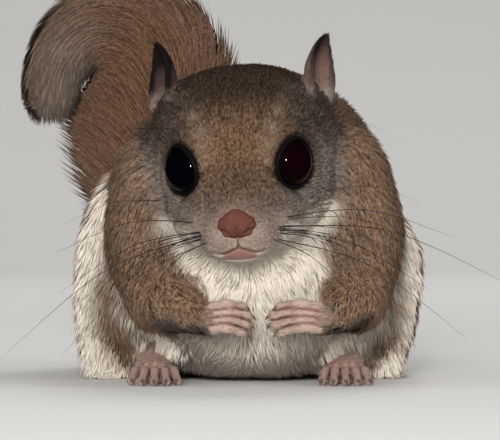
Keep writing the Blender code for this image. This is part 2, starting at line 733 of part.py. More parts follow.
def sole_shape(side, grow=0.0):
    """The long sole from the heel to the ball of the foot."""
    heel, ball_end = mirrored(FOOT_HEEL, side) / MM, mirrored(FOOT_BALL, side) / MM
    middle = (heel + ball_end) / 2 + Vector((0.0, 0.0, 0.6))
    return limb("sole", (heel, middle, ball_end), SOLE_WIDE, SOLE_DEEP, sides=10, rings=4, caps=2, grow=grow)


def foot_pieces(side):
    """Heel, long sole and five toes, laid flat on the floor."""
    sole_end = mirrored(FOOT_BALL, side) / MM
    pieces = [sole_shape(side)]
    out = 1.0 if side == "left" else -1.0
    for number, across in enumerate(TOE_ACROSS):
        length = TOE_LENGTHS[number]
        knuckle = np.array(sole_end) + np.array((across, 0.5, -0.2))
        tip = np.array(sole_end) + np.array((across * 1.55, -length, -1.15))
        bend = (knuckle + tip) / 2 + np.array((0.0, 0.0, 0.95))
        pieces += finger(side, knuckle, bend, tip, (0.1 * across * out, -1.0, 0.05))
    return pieces


def membrane_shape(side):
    """The gliding membrane: at each height a wedge from a thick root on the flank to a thin outer edge."""
    sign = 1.0 if side == "left" else -1.0
    rings = []
    stations = through(MEMBRANE_STATIONS[side], MEMBRANE_ROWS)
    for height, root_x, root_y, root_r, edge_x, edge_y, edge_r in stations:
        run = np.array((edge_x - root_x, edge_y - root_y))
        way = math.atan2(run[1], run[0])
        lean = math.acos((root_r - edge_r) / np.linalg.norm(run))
        ring = []
        for a in np.linspace(way - lean, way + lean, 5):
            ring.append((edge_x + edge_r * math.cos(a), edge_y + edge_r * math.sin(a)))
        for a in np.linspace(way + lean, way - lean + 2 * math.pi, 8):
            ring.append((root_x + root_r * math.cos(a), root_y + root_r * math.sin(a)))
        rings.append(np.array([(sign * x * MM, y * MM, height * MM) for x, y in ring]))
    foot, crown = rings[0].mean(axis=0), rings[-1].mean(axis=0)
    foot[2] -= 1.0 * MM
    crown[2] += 3.0 * MM
    return lofted(f"patagium_{side}", rings, foot, crown)


def tail_table():
    """The tail's line and form at fine steps, with the share of the run at each step."""
    fine = through(np.column_stack([TAIL_LINE, TAIL_FORM]), 241)
    steps = np.linalg.norm(np.diff(fine[:, :3], axis=0), axis=1)
    runs = np.concatenate([[0.0], np.cumsum(steps)])
    return runs / runs[-1], fine


TAIL_SHARES, TAIL_ROWS = tail_table()


def tail_at(share):
    """Centre, way, across and face directions, both reaches and half thickness at a share of the run."""
    inside = min(max(share, 0.0), 1.0)
    row = [np.interp(inside, TAIL_SHARES, TAIL_ROWS[:, k]) for k in range(7)]
    ahead = [np.interp(min(inside + 0.01, 1.0), TAIL_SHARES, TAIL_ROWS[:, k]) for k in range(3)]
    behind = [np.interp(max(inside - 0.01, 0.0), TAIL_SHARES, TAIL_ROWS[:, k]) for k in range(3)]
    way = np.array(ahead) - behind
    way /= np.linalg.norm(way)
    centre = np.array(row[:3]) + way * (share - inside) * TAIL_RUN
    face = np.array((0.0, -1.0, 0.0)) - np.dot((0.0, -1.0, 0.0), way) * way
    face /= np.linalg.norm(face)
    across = np.cross(way, face)
    turn = math.radians(row[6])
    turned = math.cos(turn) * across + math.sin(turn) * face
    return centre, way, turned, math.cos(turn) * face - math.sin(turn) * across, row[3], row[4], row[5]


def tail_core(name, start, end):
    """The flat middle of one length of the tail, half as wide as its hair reaches."""
    rings = []
    for share in np.linspace(start, end, round((end - start) * TAIL_RUN / 5.0) + 2):
        centre, _, across, face, left, right, thick = tail_at(share)
        ring = []
        for a in np.linspace(0.0, 2 * math.pi, TAIL_CORE_SIDES, endpoint=False):
            reach = TAIL_CORE * (left if math.cos(a) > 0 else right)
            thin = TAIL_CORE_THICKNESS * thick
            ring.append((centre + across * reach * math.cos(a) + face * thin * math.sin(a)) * MM)
        rings.append(np.array(ring))
    return lofted(name, rings, rings[0].mean(axis=0), rings[-1].mean(axis=0))


def lock(path, face, broad):
    """A flat tapered lock along a path, widest near its root and lens-shaped across."""
    wide = [w * broad for w in LOCK_HALF_WIDTH]
    thin = LOCK_HALF_THICKNESS
    return limb("lock", path, thin, wide, sides=4, rings=LOCK_RINGS, caps=0, wide_axis=tuple(face))


def side_lock(share, side, layer, forward, long, broad):
    """A lock of the fringe, rooted in the core and bending out and on towards the tip."""
    path = []
    for t in np.linspace(0.0, 1.0, 5):
        centre, _, across, face, left, right, _ = tail_at(share + forward / TAIL_RUN * t**1.1)
        out = (left if side > 0 else right) * (LOCK_ROOT + (long - LOCK_ROOT) * t**0.85)
        path.append(centre + across * side * out + face * layer * LOCK_LAYER * (1 - 0.5 * t))
    return lock(path, face, broad)


def fan_lock(lean, layer, long, broad):
    """A lock of the rounded end."""
    centre, way, across, face = tail_at(FAN_START)[:4]
    end_way = tail_at(0.97)[1]
    path = []
    for t in np.linspace(0.0, 1.0, 5):
        run = way * (1 - t) + end_way * t
        point = centre + across * math.sin(lean) * 2.5 + face * layer * LOCK_LAYER * 0.6
        point = point + (run * math.cos(lean) + across * math.sin(lean)) * long * t
        path.append(point)
    return lock(path, face, broad)


def lock_plan():
    """Every lock of the tail, as the share where it starts and the sizes that shape it."""
    draw = np.random.default_rng(LOCK_SEED)
    step = LOCK_SPACING / TAIL_RUN
    plan = []
    for number, share in enumerate(np.arange(0.02, FAN_START + 0.02, step)):
        for side in (1.0, -1.0):
            if side < 0 and share > HOOK_START and (number % 2 or share < HOOK_OPENS):
                continue
            layer = side * (1.0 if number % 2 else -1.0) * draw.uniform(0.8, 1.2)
            start = share + draw.uniform(-0.2, 0.2) * step
            forward = LOCK_FORWARD * draw.uniform(0.85, 1.15)
            plan.append((start, side, layer, forward, draw.uniform(0.93, 1.03), draw.uniform(0.9, 1.1)))
    return plan


def half_space(share, ahead):
    """A block over all that lies ahead of, or behind, a thin straight cut across the tail."""
    centre, way, across, face = tail_at(share)[:4]
    shift = GAP / MM / 2
    near, far = (-shift, CUT_REACH) if ahead else (shift, -CUT_REACH)
    points = []
    for depth in (-CUT_DEPTH, CUT_DEPTH):
        for u, s in ((-CUT_REACH, near), (CUT_REACH, near), (CUT_REACH, far), (-CUT_REACH, far)):
            points.append((centre + across * u + way * s + face * depth) * MM)
    faces = [(0, 1, 2, 3), (4, 5, 6, 7), (0, 1, 5, 4), (1, 2, 6, 5), (2, 3, 7, 6), (3, 0, 4, 7)]
    return solid("half_space", points, faces)


def build_tail(fur):
    """The tail's lengths: core and locks fused, parted by thin cuts that the locks run through."""
    margin = CUT_MARGIN / TAIL_RUN
    plan = lock_plan()
    draw = np.random.default_rng(LOCK_SEED + 1)
    for name, start, end in zip(TAIL_NAMES, TAIL_CUTS, TAIL_CUTS[1:]):
        first, last = start == 0.0, end == 1.0
        core = tail_core(name, start if first else start - margin, 0.95 if last else end + margin)
        locks = [side_lock(*row) for row in plan if start - row[3] / TAIL_RUN < row[0] < end]
        if last:
            for number, lean in enumerate(FAN_LEANS):
                layer = (1.0 if number % 2 else -1.0) * draw.uniform(0.8, 1.2)
                long = FAN_LENGTH * draw.uniform(0.93, 1.05)
                locks.append(fan_lock(lean, layer, long, draw.uniform(0.9, 1.1)))
        length = joined(core, locks)
        cutters = [torso_shape(GAP)] if first else [half_space(start, ahead=False)]
        if not last:
            cutters.append(half_space(end, ahead=True))
        dressed(cut(length, cutters), fur)
        length.name = name


def trunk():
    """Cutters that hold a limb clear of the torso, head and neck."""
    return [torso_shape(GAP), head_shape(GAP), neck_shape(GAP)]


def build_arm(side, materials):
    """Upper arm, forearm and hand of one side."""
    dressed(cut(upper_arm_shape(side), trunk()), materials["back"])
    dressed(cut(forearm_shape(side), trunk() + [upper_arm_shape(side, GAP)]), materials["back"])
    pieces = hand_pieces(side)
    hand = joined(pieces[0], pieces[1:], "MANIFOLD")
    hand.name = f"hand_{side}"
    dressed(cut(hand, [forearm_shape(side, GAP)]), materials["skin"])


def build_leg(side, materials):
    """Hind leg, foot and gliding membrane of one side."""
    around = [torso_shape(GAP), upper_arm_shape(side, GAP), forearm_shape(side, GAP), floor_cutter()]
    dressed(cut(leg_shape(side), around), materials["back"])
    pieces = foot_pieces(side)
    foot = joined(pieces[0], pieces[1:], "MANIFOLD")
    foot.name = f"foot_{side}"
    around = [torso_shape(GAP), leg_shape(side, GAP), forearm_shape(side, GAP), floor_cutter()]
    dressed(cut(foot, around), materials["skin"])
    around = [torso_shape(GAP), leg_shape(side, GAP), upper_arm_shape(side, GAP), forearm_shape(side, GAP)]
    around += [neck_shape(GAP), sole_shape(side, GAP), floor_cutter()]
    dressed(cut(membrane_shape(side), around), materials["belly"])


def recentre():
    """Moves the whole animal so that the origin is under the middle of its bounding box."""
    bpy.context.view_layer.update()
    things = [o for o in bpy.data.objects if o.type == "MESH"]
    points = np.array([v.co for o in things for v in o.data.vertices])
    low, high = points.min(axis=0), points.max(axis=0)
    shift = Matrix.Translation((-(low[0] + high[0]) / 2, -(low[1] + high[1]) / 2, -low[2]))
    for thing in things:
        thing.data.transform(shift)


def main():
    clear_scene()
    materials = {
        "back": finish_material("back_fur", (0.20, 0.13, 0.085), 0.85),
        "belly": finish_material("belly_fur", (0.62, 0.57, 0.50), 0.85),
        "skin": finish_material("pink_skin", (0.62, 0.40, 0.38), 0.6),
        "nose": finish_material("nose_skin", (0.45, 0.22, 0.19), 0.55),
        "ear": finish_material("ear_skin", (0.33, 0.20, 0.18), 0.6),
        "eye": finish_material("eye_black", (0.01, 0.008, 0.012), 0.08),
        "whisker": finish_material("whisker_hair", (0.03, 0.025, 0.022), 0.5),
    }
    dressed(cut(torso_shape(), [head_seat(), floor_cutter()]), materials["back"])
    build_head(materials["back"])
    build_head_pieces(materials)
    dressed(cut(neck_shape(), [head_shape(GAP), torso_shape(GAP)]), materials["back"])
    for side in ("left", "right"):
        build_whiskers(side, materials["whisker"])
        build_arm(side, materials)
        build_leg(side, materials)
    build_tail(materials["back"])
    recentre()


main()
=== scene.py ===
# %% [markdown]
# # A flying squirrel in fur
# The frame gives one closed solid for each part of the animal. They hold its size and its pose. Here the
# same places get a skin without seams, a coat of many small tufts, moist eyes, a nose pad, claws and
# whiskers. All lengths below are in millimetres, and MM turns them into metres when a mesh is made.

# %% Load the frame
import math

import bmesh
import bpy
import numpy as np
from mathutils import Euler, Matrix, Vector
from mathutils.kdtree import KDTree


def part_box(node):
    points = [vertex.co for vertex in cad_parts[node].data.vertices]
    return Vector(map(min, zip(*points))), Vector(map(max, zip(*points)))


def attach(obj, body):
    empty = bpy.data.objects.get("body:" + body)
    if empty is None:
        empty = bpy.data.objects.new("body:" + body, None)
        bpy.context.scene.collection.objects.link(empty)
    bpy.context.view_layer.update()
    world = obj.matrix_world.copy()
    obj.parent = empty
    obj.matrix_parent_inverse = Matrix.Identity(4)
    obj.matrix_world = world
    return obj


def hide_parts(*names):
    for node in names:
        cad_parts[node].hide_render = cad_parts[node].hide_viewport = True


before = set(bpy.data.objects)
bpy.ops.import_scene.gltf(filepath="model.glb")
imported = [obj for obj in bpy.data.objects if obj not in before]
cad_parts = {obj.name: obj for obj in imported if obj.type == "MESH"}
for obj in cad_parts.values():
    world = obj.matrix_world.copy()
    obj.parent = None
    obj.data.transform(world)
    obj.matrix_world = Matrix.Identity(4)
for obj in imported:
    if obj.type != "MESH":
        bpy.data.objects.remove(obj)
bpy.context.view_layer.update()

MM = 0.001
rng = np.random.default_rng(20)
print("solids:", len(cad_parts))

# %% [markdown]
# ## Where the head is
# The head was shaped in its own axes, with -Y to the nose and Z 0 at the eyes, and then turned. The two
# eyeballs are exact, so their middles tell where the head's axes ended up in the frame. Every mark of the
# face, from the lids to the roots of the whiskers, can then be given in the simple axes of the head.

# %% The head's axes
HEAD_TURN = np.array(Euler((math.radians(18), math.radians(-3.6), math.radians(-4.2)), "XYZ").to_matrix())
EYE_CENTRE = np.array((6.15, -4.5, -0.3))
EYE_RADIUS = 4.7
EYE_OUTWARD, EYE_UPWARD = math.radians(50), math.radians(8)
# Half the width of the opening between the lids
EYE_OPENING = 3.52
SIDES = {"left": 1.0, "right": -1.0}


def mirrored(point, side):
    return np.asarray(point, float) * (SIDES[side], 1.0, 1.0)


def box_centre(node):
    return np.mean(np.array(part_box(node)), axis=0) / MM


HEAD_ORIGIN = np.mean([box_centre(f"eye_{s}") - HEAD_TURN @ mirrored(EYE_CENTRE, s) for s in SIDES], axis=0)
SHIFT = HEAD_ORIGIN - np.array((-1.5, 17.2, 35.3))


def from_head(points):
    return np.asarray(points) @ HEAD_TURN.T + HEAD_ORIGIN


def to_head(points):
    return (np.asarray(points) - HEAD_ORIGIN) @ HEAD_TURN


def eye_axis(side):
    flat = np.array((math.sin(EYE_OUTWARD), -math.cos(EYE_OUTWARD), 0.0)) * math.cos(EYE_UPWARD)
    return mirrored(flat + (0.0, 0.0, math.sin(EYE_UPWARD)), side)


print("head at", HEAD_ORIGIN.round(2), "shift", SHIFT.round(2))

# %% [markdown]
# ## Tools for making forms
# A body is easy to describe by sections along a line. A smooth curve through a few given rows gives as
# many sections as the mesh needs, and a loft joins the sections with faces. Each form stays as plain
# arrays here, because the skin is made from all of them at once.

# %% Lofts and limbs


def through(rows, count):
    """Rows read at even steps along a smooth curve that passes through every given row."""
    rows = np.asarray(rows, float)
    last = len(rows) - 1
    made = []
    for step in np.linspace(0.0, last, count):
        i = min(int(step), last - 1)
        u = step - i
        a, b, c, d = (rows[min(max(i + k, 0), last)] for k in (-1, 0, 1, 2))
        bend = (2 * a - 5 * b + 4 * c - d) * u**2 + (3 * b - a - 3 * c + d) * u**3
        made.append(0.5 * (2 * b + (c - a) * u + bend))
    return np.array(made)


def circle(count):
    """Angles at even steps round a circle."""
    return np.linspace(0.0, 2 * math.pi, count, endpoint=False)


def lofted(rings):
    """Points and faces of a closed skin over rings of equally many points."""
    sides, count = len(rings[0]), len(rings)
    points = np.vstack([rings[0].mean(axis=0)[None], *rings, rings[-1].mean(axis=0)[None]])
    top = 1 + (count - 1) * sides
    faces = []
    for j in range(sides):
        k = (j + 1) % sides
        faces += [(0, 1 + k, 1 + j), (top + j, top + k, len(points) - 1)]
        for low in range(1, top, sides):
            faces.append((low + j, low + k, low + sides + k, low + sides + j))
    return points, faces


def joined(forms):
    """Several forms as one list of points and faces."""
    faces, count = [], 0
    for points, form_faces in forms:
        faces += [tuple(i + count for i in face) for face in form_faces]
        count += len(points)
    return np.vstack([points for points, _ in forms]), faces


def limb(path, wide, deep=None, sides=20, rings=14, caps=5, wide_axis=(1.0, 0.0, 0.0)):
    """A tapered limb of oval section along a smooth path, rounded at both ends."""
    deep = wide if deep is None else deep
    rows = through(np.column_stack([path, wide, deep]), rings)
    runs = unit(np.gradient(rows[:, :3], axis=0))
    turns = [math.pi / 2 * k / (caps + 1) for k in range(1, caps + 1)]
    spots = [(0, -turn) for turn in reversed(turns)]
    spots += [(i, 0.0) for i in range(rings)]
    spots += [(rings - 1, turn) for turn in turns]
    angle = circle(sides)
    made = []
    for i, turn in spots:
        run = runs[i]
        side = unit(np.array(wide_axis) - np.dot(wide_axis, run) * run)
        half_wide, half_deep = math.cos(turn) * rows[i, 3:]
        ring = rows[i, :3] + run * math.sin(turn) * rows[i, 4]
        ring = ring + np.outer(np.cos(angle) * half_wide, side)
        made.append(ring + np.outer(np.sin(angle) * half_deep, np.cross(run, side)))
    return lofted(made)


def ball(centre, half, columns=40, rows=24, turn=(0.0, 0.0, 0.0)):
    """Points and faces of an ellipsoid."""
    u = circle(columns)
    rings = []
    for v in np.linspace(-math.pi / 2, math.pi / 2, rows + 1)[1:-1]:
        ring = (np.cos(u) * math.cos(v), np.sin(u) * math.cos(v), np.full(columns, math.sin(v)))
        rings.append(np.stack(ring, axis=1))
    points, faces = lofted(rings)
    points[0], points[-1] = (0, 0, -1), (0, 0, 1)
    return (points * half) @ np.array(Euler(turn).to_matrix()).T + centre, faces


def smooth(low, high, x):
    """0 below one limit, 1 past the other, with a soft step between."""
    t = np.clip((x - low) / (high - low), 0.0, 1.0)
    return t * t * (3 - 2 * t)


def bump_at(away, reach):
    """1 in the middle and falling off softly with distance."""
    return np.exp(-((away / reach) ** 2))


def unit(v):
    return v / np.maximum(np.linalg.norm(v, axis=-1, keepdims=True), 1e-9)


def distance(points, place):
    return np.linalg.norm(points - np.asarray(place), axis=1)


def linked(name, data):
    """A new object in the scene."""
    thing = bpy.data.objects.new(name, data)
    bpy.context.scene.collection.objects.link(thing)
    return thing


def mesh_object(name, points, faces):
    """An object from points in millimetres and any faces."""
    mesh = bpy.data.meshes.new(name)
    mesh.from_pydata([tuple(p) for p in np.asarray(points) * MM], [], faces)
    return linked(name, mesh)


def read_mesh(mesh):
    """Points in millimetres, triangles and edges of a mesh."""
    mesh.calc_loop_triangles()
    made = []
    for items, field, width, kind in (
        (mesh.vertices, "co", 3, float),
        (mesh.loop_triangles, "vertices", 3, int),
        (mesh.edges, "vertices", 2, int),
    ):
        values = np.empty(len(items) * width, kind)
        items.foreach_get(field, values)
        made.append(values.reshape(-1, width))
    return made[0] / MM, made[1], made[2]


def face_crosses(points, triangles):
    """A vector square to each triangle, as long as twice its area."""
    corner = points[triangles]
    return np.cross(corner[:, 1] - corner[:, 0], corner[:, 2] - corner[:, 0])


def normals_of(points, triangles):
    """Area-weighted unit normals at the points."""
    face = face_crosses(points, triangles)
    total = np.zeros_like(points)
    for k in range(3):
        for axis in range(3):
            total[:, axis] += np.bincount(triangles[:, k], face[:, axis], len(points))
    return unit(total)


# %% [markdown]
# ## The head, finer than its solid
# The same sections as the solid's, with many more rings and sides, give a smooth head. Small soft
# swellings make the whisker pads, the chin, the cheeks and the brows. Each eyeball carries a slightly
# larger ball that becomes the lids.

# %% Head, lids and ears
# Place along the head, half width, bottom, height of the widest line, top, squareness above and below
HEAD_STATIONS = (
    (-19.2, 0.5, -6.4, -5.6, -4.8, 2.0, 2.0),
    (-18.5, 2.8, -8.6, -6.0, -3.0, 2.0, 2.0),
    (-17.0, 4.6, -11.0, -7.2, -1.6, 2.0, 2.1),
    (-14.8, 6.2, -12.3, -7.6, 0.2, 2.0, 2.2),
    (-12.0, 7.9, -13.2, -7.6, 2.9, 2.0, 2.2),
    (-8.0, 9.7, -13.9, -7.4, 6.4, 2.0, 2.2),
    (-4.0, 11.7, -14.4, -7.2, 9.2, 2.1, 2.2),
    (0.0, 13.7, -14.6, -6.8, 10.8, 2.2, 2.2),
    (4.0, 15.0, -14.7, -6.2, 11.6, 2.4, 2.2),
    (8.0, 15.4, -15.0, -5.4, 11.7, 2.5, 2.2),
    (12.0, 14.9, -14.0, -4.6, 11.0, 2.4, 2.2),
    (16.0, 12.9, -12.0, -3.8, 9.2, 2.2, 2.2),
    (19.5, 9.2, -9.0, -3.2, 5.4, 2.1, 2.1),
    (22.0, 1.2, -4.0, -3.0, -2.0, 2.0, 2.0),
)
# Place, reach and height of each swelling, with one hollow between the eyes
FACE_SWELLS = (
    ((4.4, -15.6, -8.6), 2.8, 0.8),
    ((0.0, -13.5, -13.4), 3.0, 0.5),
    ((12.5, 2.0, -9.0), 6.0, 0.6),
    ((6.6, -2.6, 7.4), 3.2, 0.6),
    ((0.0, -8.0, 6.0), 3.6, -0.5),
    ((8.0, -9.8, -7.2), 3.4, 1.1),
)
LOWER_LIP_PLACE, LOWER_LIP_HALF = (0.0, -15.8, -10.7), (1.9, 1.2, 0.9)
MUZZLE_SLIM = 0.13
LID_GROW = 0.55
EAR_ROOT, EAR_HEIGHT, EAR_THICKNESS = (10.9, 7.2, 3.2), 12.9, 0.7
EAR_LEAN_OUT = {"left": math.radians(16), "right": math.radians(7.5)}
EAR_LEAN_BACK, EAR_FACING = math.radians(-13), math.radians(62)
# Share of the ear's height, half the way round it, half its angle and how far it leans
EAR_STATIONS = np.array(
    [
        (0.00, 4.4, 100, 0.0),
        (0.20, 5.2, 92, -0.2),
        (0.42, 5.2, 80, -0.3),
        (0.62, 4.4, 68, -0.3),
        (0.80, 3.0, 58, -0.3),
        (0.93, 1.6, 50, -0.3),
        (1.00, 0.5, 46, -0.2),
    ]
)


def head_form(rings=84, sides=88):
    """The head without its sockets, in its own axes."""
    across, up = np.cos(circle(sides)), np.sin(circle(sides))
    made = []
    for y, half, low, widest, high, square_up, square_down in through(HEAD_STATIONS, rings):
        power = 2.0 / np.where(up > 0, square_up, square_down)
        x = half * np.sign(across) * np.abs(across) ** power
        rise = np.where(up > 0, high - widest, widest - low)
        z = widest + rise * np.sign(up) * np.abs(up) ** power
        made.append(np.stack([x, np.full(sides, y), z], axis=1))
    points, faces = lofted(made)
    out = unit(points - (0.0, 0.0, -3.0))
    for place, reach, height in FACE_SWELLS:
        for side in SIDES if place[0] else ["left"]:
            points += out * (height * bump_at(distance(points, mirrored(place, side)), reach))[:, None]
    points[:, 0] *= 1 - MUZZLE_SLIM * smooth(-11.5, -15.0, points[:, 1]) * smooth(1.0, -4.0, points[:, 2])
    return points, faces


def ear_matrix(side):
    """The ear's turn and its root in the head's axes."""
    lean = Euler((EAR_LEAN_BACK, EAR_LEAN_OUT[side] * SIDES[side], 0.0), "XYZ").to_matrix()
    facing = Euler((0.0, 0.0, EAR_FACING * SIDES[side])).to_matrix()
    return np.array(lean @ facing), mirrored(EAR_ROOT, side)


def ear_form(side, rows=40, columns=34):
    """A thin leaf rolled into a cup, with its rim thinned, in the head's axes."""
    inner, outer = [], []
    for share, half_run, half_angle, lean in through(EAR_STATIONS, rows):
        span = math.radians(half_angle)
        radius = half_run / span
        thick = min(EAR_THICKNESS, radius * 0.8) / 2
        for a in np.linspace(-span, span, columns):
            for shell, r in ((inner, radius - thick), (outer, radius + thick)):
                shell.append((r * math.sin(a), r * math.cos(a) - radius * 0.4 + lean, share * EAR_HEIGHT))
    offset = len(inner)
    faces = []
    for a in (i * columns + j for i in range(rows - 1) for j in range(columns - 1)):
        b, c, d = a + 1, a + columns + 1, a + columns
        faces += [(a, b, c, d), (offset + a, offset + d, offset + c, offset + b)]
    grid = np.arange(offset).reshape(rows, columns)
    rim = [*grid[0], *grid[1:, -1], *grid[-1, -2::-1], *grid[-2:0:-1, 0]]
    faces += [(a, offset + a, offset + b, b) for a, b in zip(rim, rim[1:] + rim[:1])]
    turn, root = ear_matrix(side)
    return np.array(inner + outer) @ turn.T + root, faces


head_parts = [head_form(), ball(LOWER_LIP_PLACE, LOWER_LIP_HALF)]
head_parts += [ball(mirrored(EYE_CENTRE, s), [EYE_RADIUS + LID_GROW] * 3) for s in SIDES]
head_parts += [ear_form(s) for s in SIDES]
print("head points:", sum(len(p) for p, _ in head_parts))

# %% [markdown]
# ## Hands and feet
# The hands meet in front of the chest with bent fingers, and the long hind feet lie flat. Each digit is a
# thin limb with a knuckle and a small pad under its tip, and it ends in a bent claw. The table of digits
# is made once, so that the claws, and the painted dark red shade between the digits, find their places from
# it too.

# %% Digits
WRISTS = {"left": (13.3, 9.0, 10.8), "right": (-8.6, 8.4, 10.8)}
PALM_FROM_WRIST, PALM_HALF = (-2.2, -1.2, -0.2), (2.5, 2.0, 2.6)
HAND_REACH = {"left": 7.4, "right": 5.9}
# Height above the palm's middle and share of the hand's reach, one row for each finger
FINGERS = ((2.0, 0.86), (0.7, 1.0), (-0.6, 0.97), (-1.9, 0.84))
FOOT_HEEL, FOOT_BALL = (15.6, 42.0, 2.4), (14.6, 21.0, 1.8)
# Place across the foot and length, one row for each toe
TOES = ((-2.3, 5.2), (-1.2, 7.0), (0.0, 7.4), (1.2, 7.0), (2.3, 5.4))
TOE_SPREAD = 1.55
DIGIT_RADII = (0.95, 0.80, 0.88, 0.66, 0.74)
FINGER_SLIM, TOE_SLIM = 0.90, 0.86
DIGIT_AXIS = (0.1, 0.2, 1.0)


def palm_of(side):
    return np.array(WRISTS[side]) + mirrored(PALM_FROM_WRIST, side)


def digit_table():
    """For each digit its knuckle, bend, tip and the way of its claw, in the frame's axes."""
    made = []
    for side, sign in SIDES.items():
        palm = palm_of(side)
        for height, share in FINGERS:
            knuckle = palm + (-sign * 0.8, -0.9, height * 0.8)
            tip = palm + (-sign * HAND_REACH[side] * share, -1.4, height - 0.3)
            bend = (knuckle + tip) / 2 + (0.0, -1.5, 0.5)
            made.append((knuckle, bend, tip, (-sign, 0.9, -0.2)))
        for across, length in TOES:
            knuckle = mirrored(FOOT_BALL, side) + (across, 0.5, -0.2)
            tip = mirrored(FOOT_BALL, side) + (across * TOE_SPREAD, -length, -1.15)
            bend = (knuckle + tip) / 2 + (0.0, 0.0, 0.95)
            made.append((knuckle, bend, tip, (0.1 * across * sign, -1.0, 0.05)))
    return [tuple(np.asarray(p) + (SHIFT if k < 3 else 0.0) for k, p in enumerate(row)) for row in made]


DIGITS = digit_table()
digit_parts, limb_parts = [], []
for knuckle, bend, tip, way in DIGITS:
    radii = np.array(DIGIT_RADII) * (TOE_SLIM if way[1] < 0 else FINGER_SLIM)
    path = through([knuckle, bend, tip], 5)
    digit_parts.append(limb(path, radii, sides=16, rings=22, wide_axis=DIGIT_AXIS))
for side, sign in SIDES.items():
    limb_parts.append(ball(palm_of(side) + SHIFT, PALM_HALF, turn=(0.0, -0.3 * sign, 0.0)))
    heel, ball_end = mirrored(FOOT_HEEL, side), mirrored(FOOT_BALL, side)
    path = np.array([heel, (heel + ball_end) / 2 + (0, 0, 0.6), ball_end]) + SHIFT
    limb_parts.append(limb(path, (2.6, 2.8, 3.1), (2.3, 2.5, 2.0), sides=28, rings=24))
print("digits:", len(DIGITS))

# %% [markdown]
# ## The tail's middle line
# The tail goes up behind the back and hooks over to one side. Its table gives the line, how far the hair
# reaches on each side, its thickness and its twist. Under the hair is only a narrow flat core, and the
# skin takes that.

# %% The tail's table and core
# The middle line, the hair's reach to the left and right, its thickness and its twist in degrees
TAIL_ROWS = (
    (1.0, 81.0, 9.4, 9.0, 9.0, 4.6, 0),
    (-3.5, 88.5, 13.5, 13.0, 13.0, 4.4, 0),
    (-9.5, 92.5, 24.0, 15.0, 15.0, 4.0, 0),
    (-13.5, 91.5, 35.5, 15.8, 16.2, 3.7, 0),
    (-15.8, 89.5, 46.0, 16.0, 15.0, 3.5, 0),
    (-19.0, 86.6, 53.4, 14.6, 9.6, 3.4, 8),
    (-24.2, 84.0, 56.8, 11.2, 6.6, 3.3, 22),
    (-29.4, 82.2, 55.2, 9.0, 5.4, 3.2, 38),
    (-32.6, 81.2, 50.6, 8.2, 5.6, 3.1, 50),
    (-33.8, 80.8, 45.6, 7.6, 6.0, 2.8, 56),
    (-34.0, 80.6, 42.0, 6.6, 5.8, 1.8, 58),
)
# Turns millimetres along the tail into shares of it, and back
TAIL_RUN = 82.0
CORE_REACH, CORE_THICK, CORE_END = 0.42, 0.5, 0.965
fine_tail = through(TAIL_ROWS, 241)
steps = np.linalg.norm(np.diff(fine_tail[:, :3], axis=0), axis=1)
TAIL_SHARES = np.concatenate([[0.0], np.cumsum(steps)]) / steps.sum()


def tail_row(share, width):
    """The first values of the tail's table at an array of shares."""
    share = np.clip(share, 0.0, 1.0)
    return np.stack([np.interp(share, TAIL_SHARES, fine_tail[:, k]) for k in range(width)], axis=-1)


def tail_at(share):
    """For an array of shares: centre, ways across and out of the face, both reaches and the thickness."""
    share = np.asarray(share, float)
    inside = np.clip(share, 0.0, 1.0)
    row = tail_row(inside, 7)
    way = unit(tail_row(inside + 0.01, 3) - tail_row(inside - 0.01, 3))
    centre = row[..., :3] + way * ((share - inside) * TAIL_RUN)[..., None] + SHIFT
    front = np.array((0.0, -1.0, 0.0))
    face = unit(front - (way @ front)[..., None] * way)
    across = np.cross(way, face)
    turn = np.radians(row[..., 6])[..., None]
    turned = np.cos(turn) * across + np.sin(turn) * face
    face = np.cos(turn) * face - np.sin(turn) * across
    return centre, turned, face, row[..., 3], row[..., 4], row[..., 5]


def core_slim(share):
    """How wide the core still is, narrowing towards its end."""
    return 1.0 - 0.75 * smooth(0.86, CORE_END, share)


core_rings = []
for share in np.linspace(0.0, CORE_END, 70):
    centre, across, face, left, right, thick = tail_at(share)
    slim, angle = core_slim(share), circle(24)
    reach = CORE_REACH * np.where(np.cos(angle) > 0, left, right) * slim
    ring = centre + np.outer(np.cos(angle) * reach, across)
    core_rings.append(ring + np.outer(np.sin(angle) * CORE_THICK * thick * slim, face))
tail_part = lofted(core_rings)
print("tail length:", round(float(steps.sum()), 1), "mm")

# %% [markdown]
# ## One skin
# All these forms, and the solids of the trunk and limbs, are laid into one mesh and wrapped by a voxel
# remesh, which joins whatever overlaps. The solids keep a thin gap from each other, so each is first
# swelled a little. The wrap is then relaxed, much on the trunk, where the solids' flats would show, and
# hardly at all on the fingers, and it sinks by the depth of the coat.

# %% Wrap the forms
TRUNK_NODES = ["torso", "neck"]
for stem in ("upper_arm", "forearm", "hind_leg", "patagium"):
    TRUNK_NODES += [f"{stem}_{s}" for s in SIDES]
SWELL = 0.24
VOXEL = 0.34


def gathered():
    """Every form in one list of points and faces."""
    forms = [(from_head(p), f) for p, f in head_parts] + limb_parts + [tail_part]
    for name in TRUNK_NODES:
        p, t, _ = read_mesh(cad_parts[name].data)
        forms.append((p + normals_of(p, t) * SWELL, t))
    return joined(forms)


def evaluated(thing):
    """The object's mesh with its modifiers applied, as a new mesh."""
    bpy.context.view_layer.update()
    return bpy.data.meshes.new_from_object(thing.evaluated_get(bpy.context.evaluated_depsgraph_get()))


wrap = mesh_object("wrap", *gathered())
change = wrap.modifiers.new("wrap", "REMESH")
change.mode = "VOXEL"
change.voxel_size = VOXEL * MM
skin_mesh = evaluated(wrap)
bpy.data.objects.remove(wrap, do_unlink=True)
skin_points, skin_tris, skin_edges = read_mesh(skin_mesh)
print("wrapped:", len(skin_points), "points")

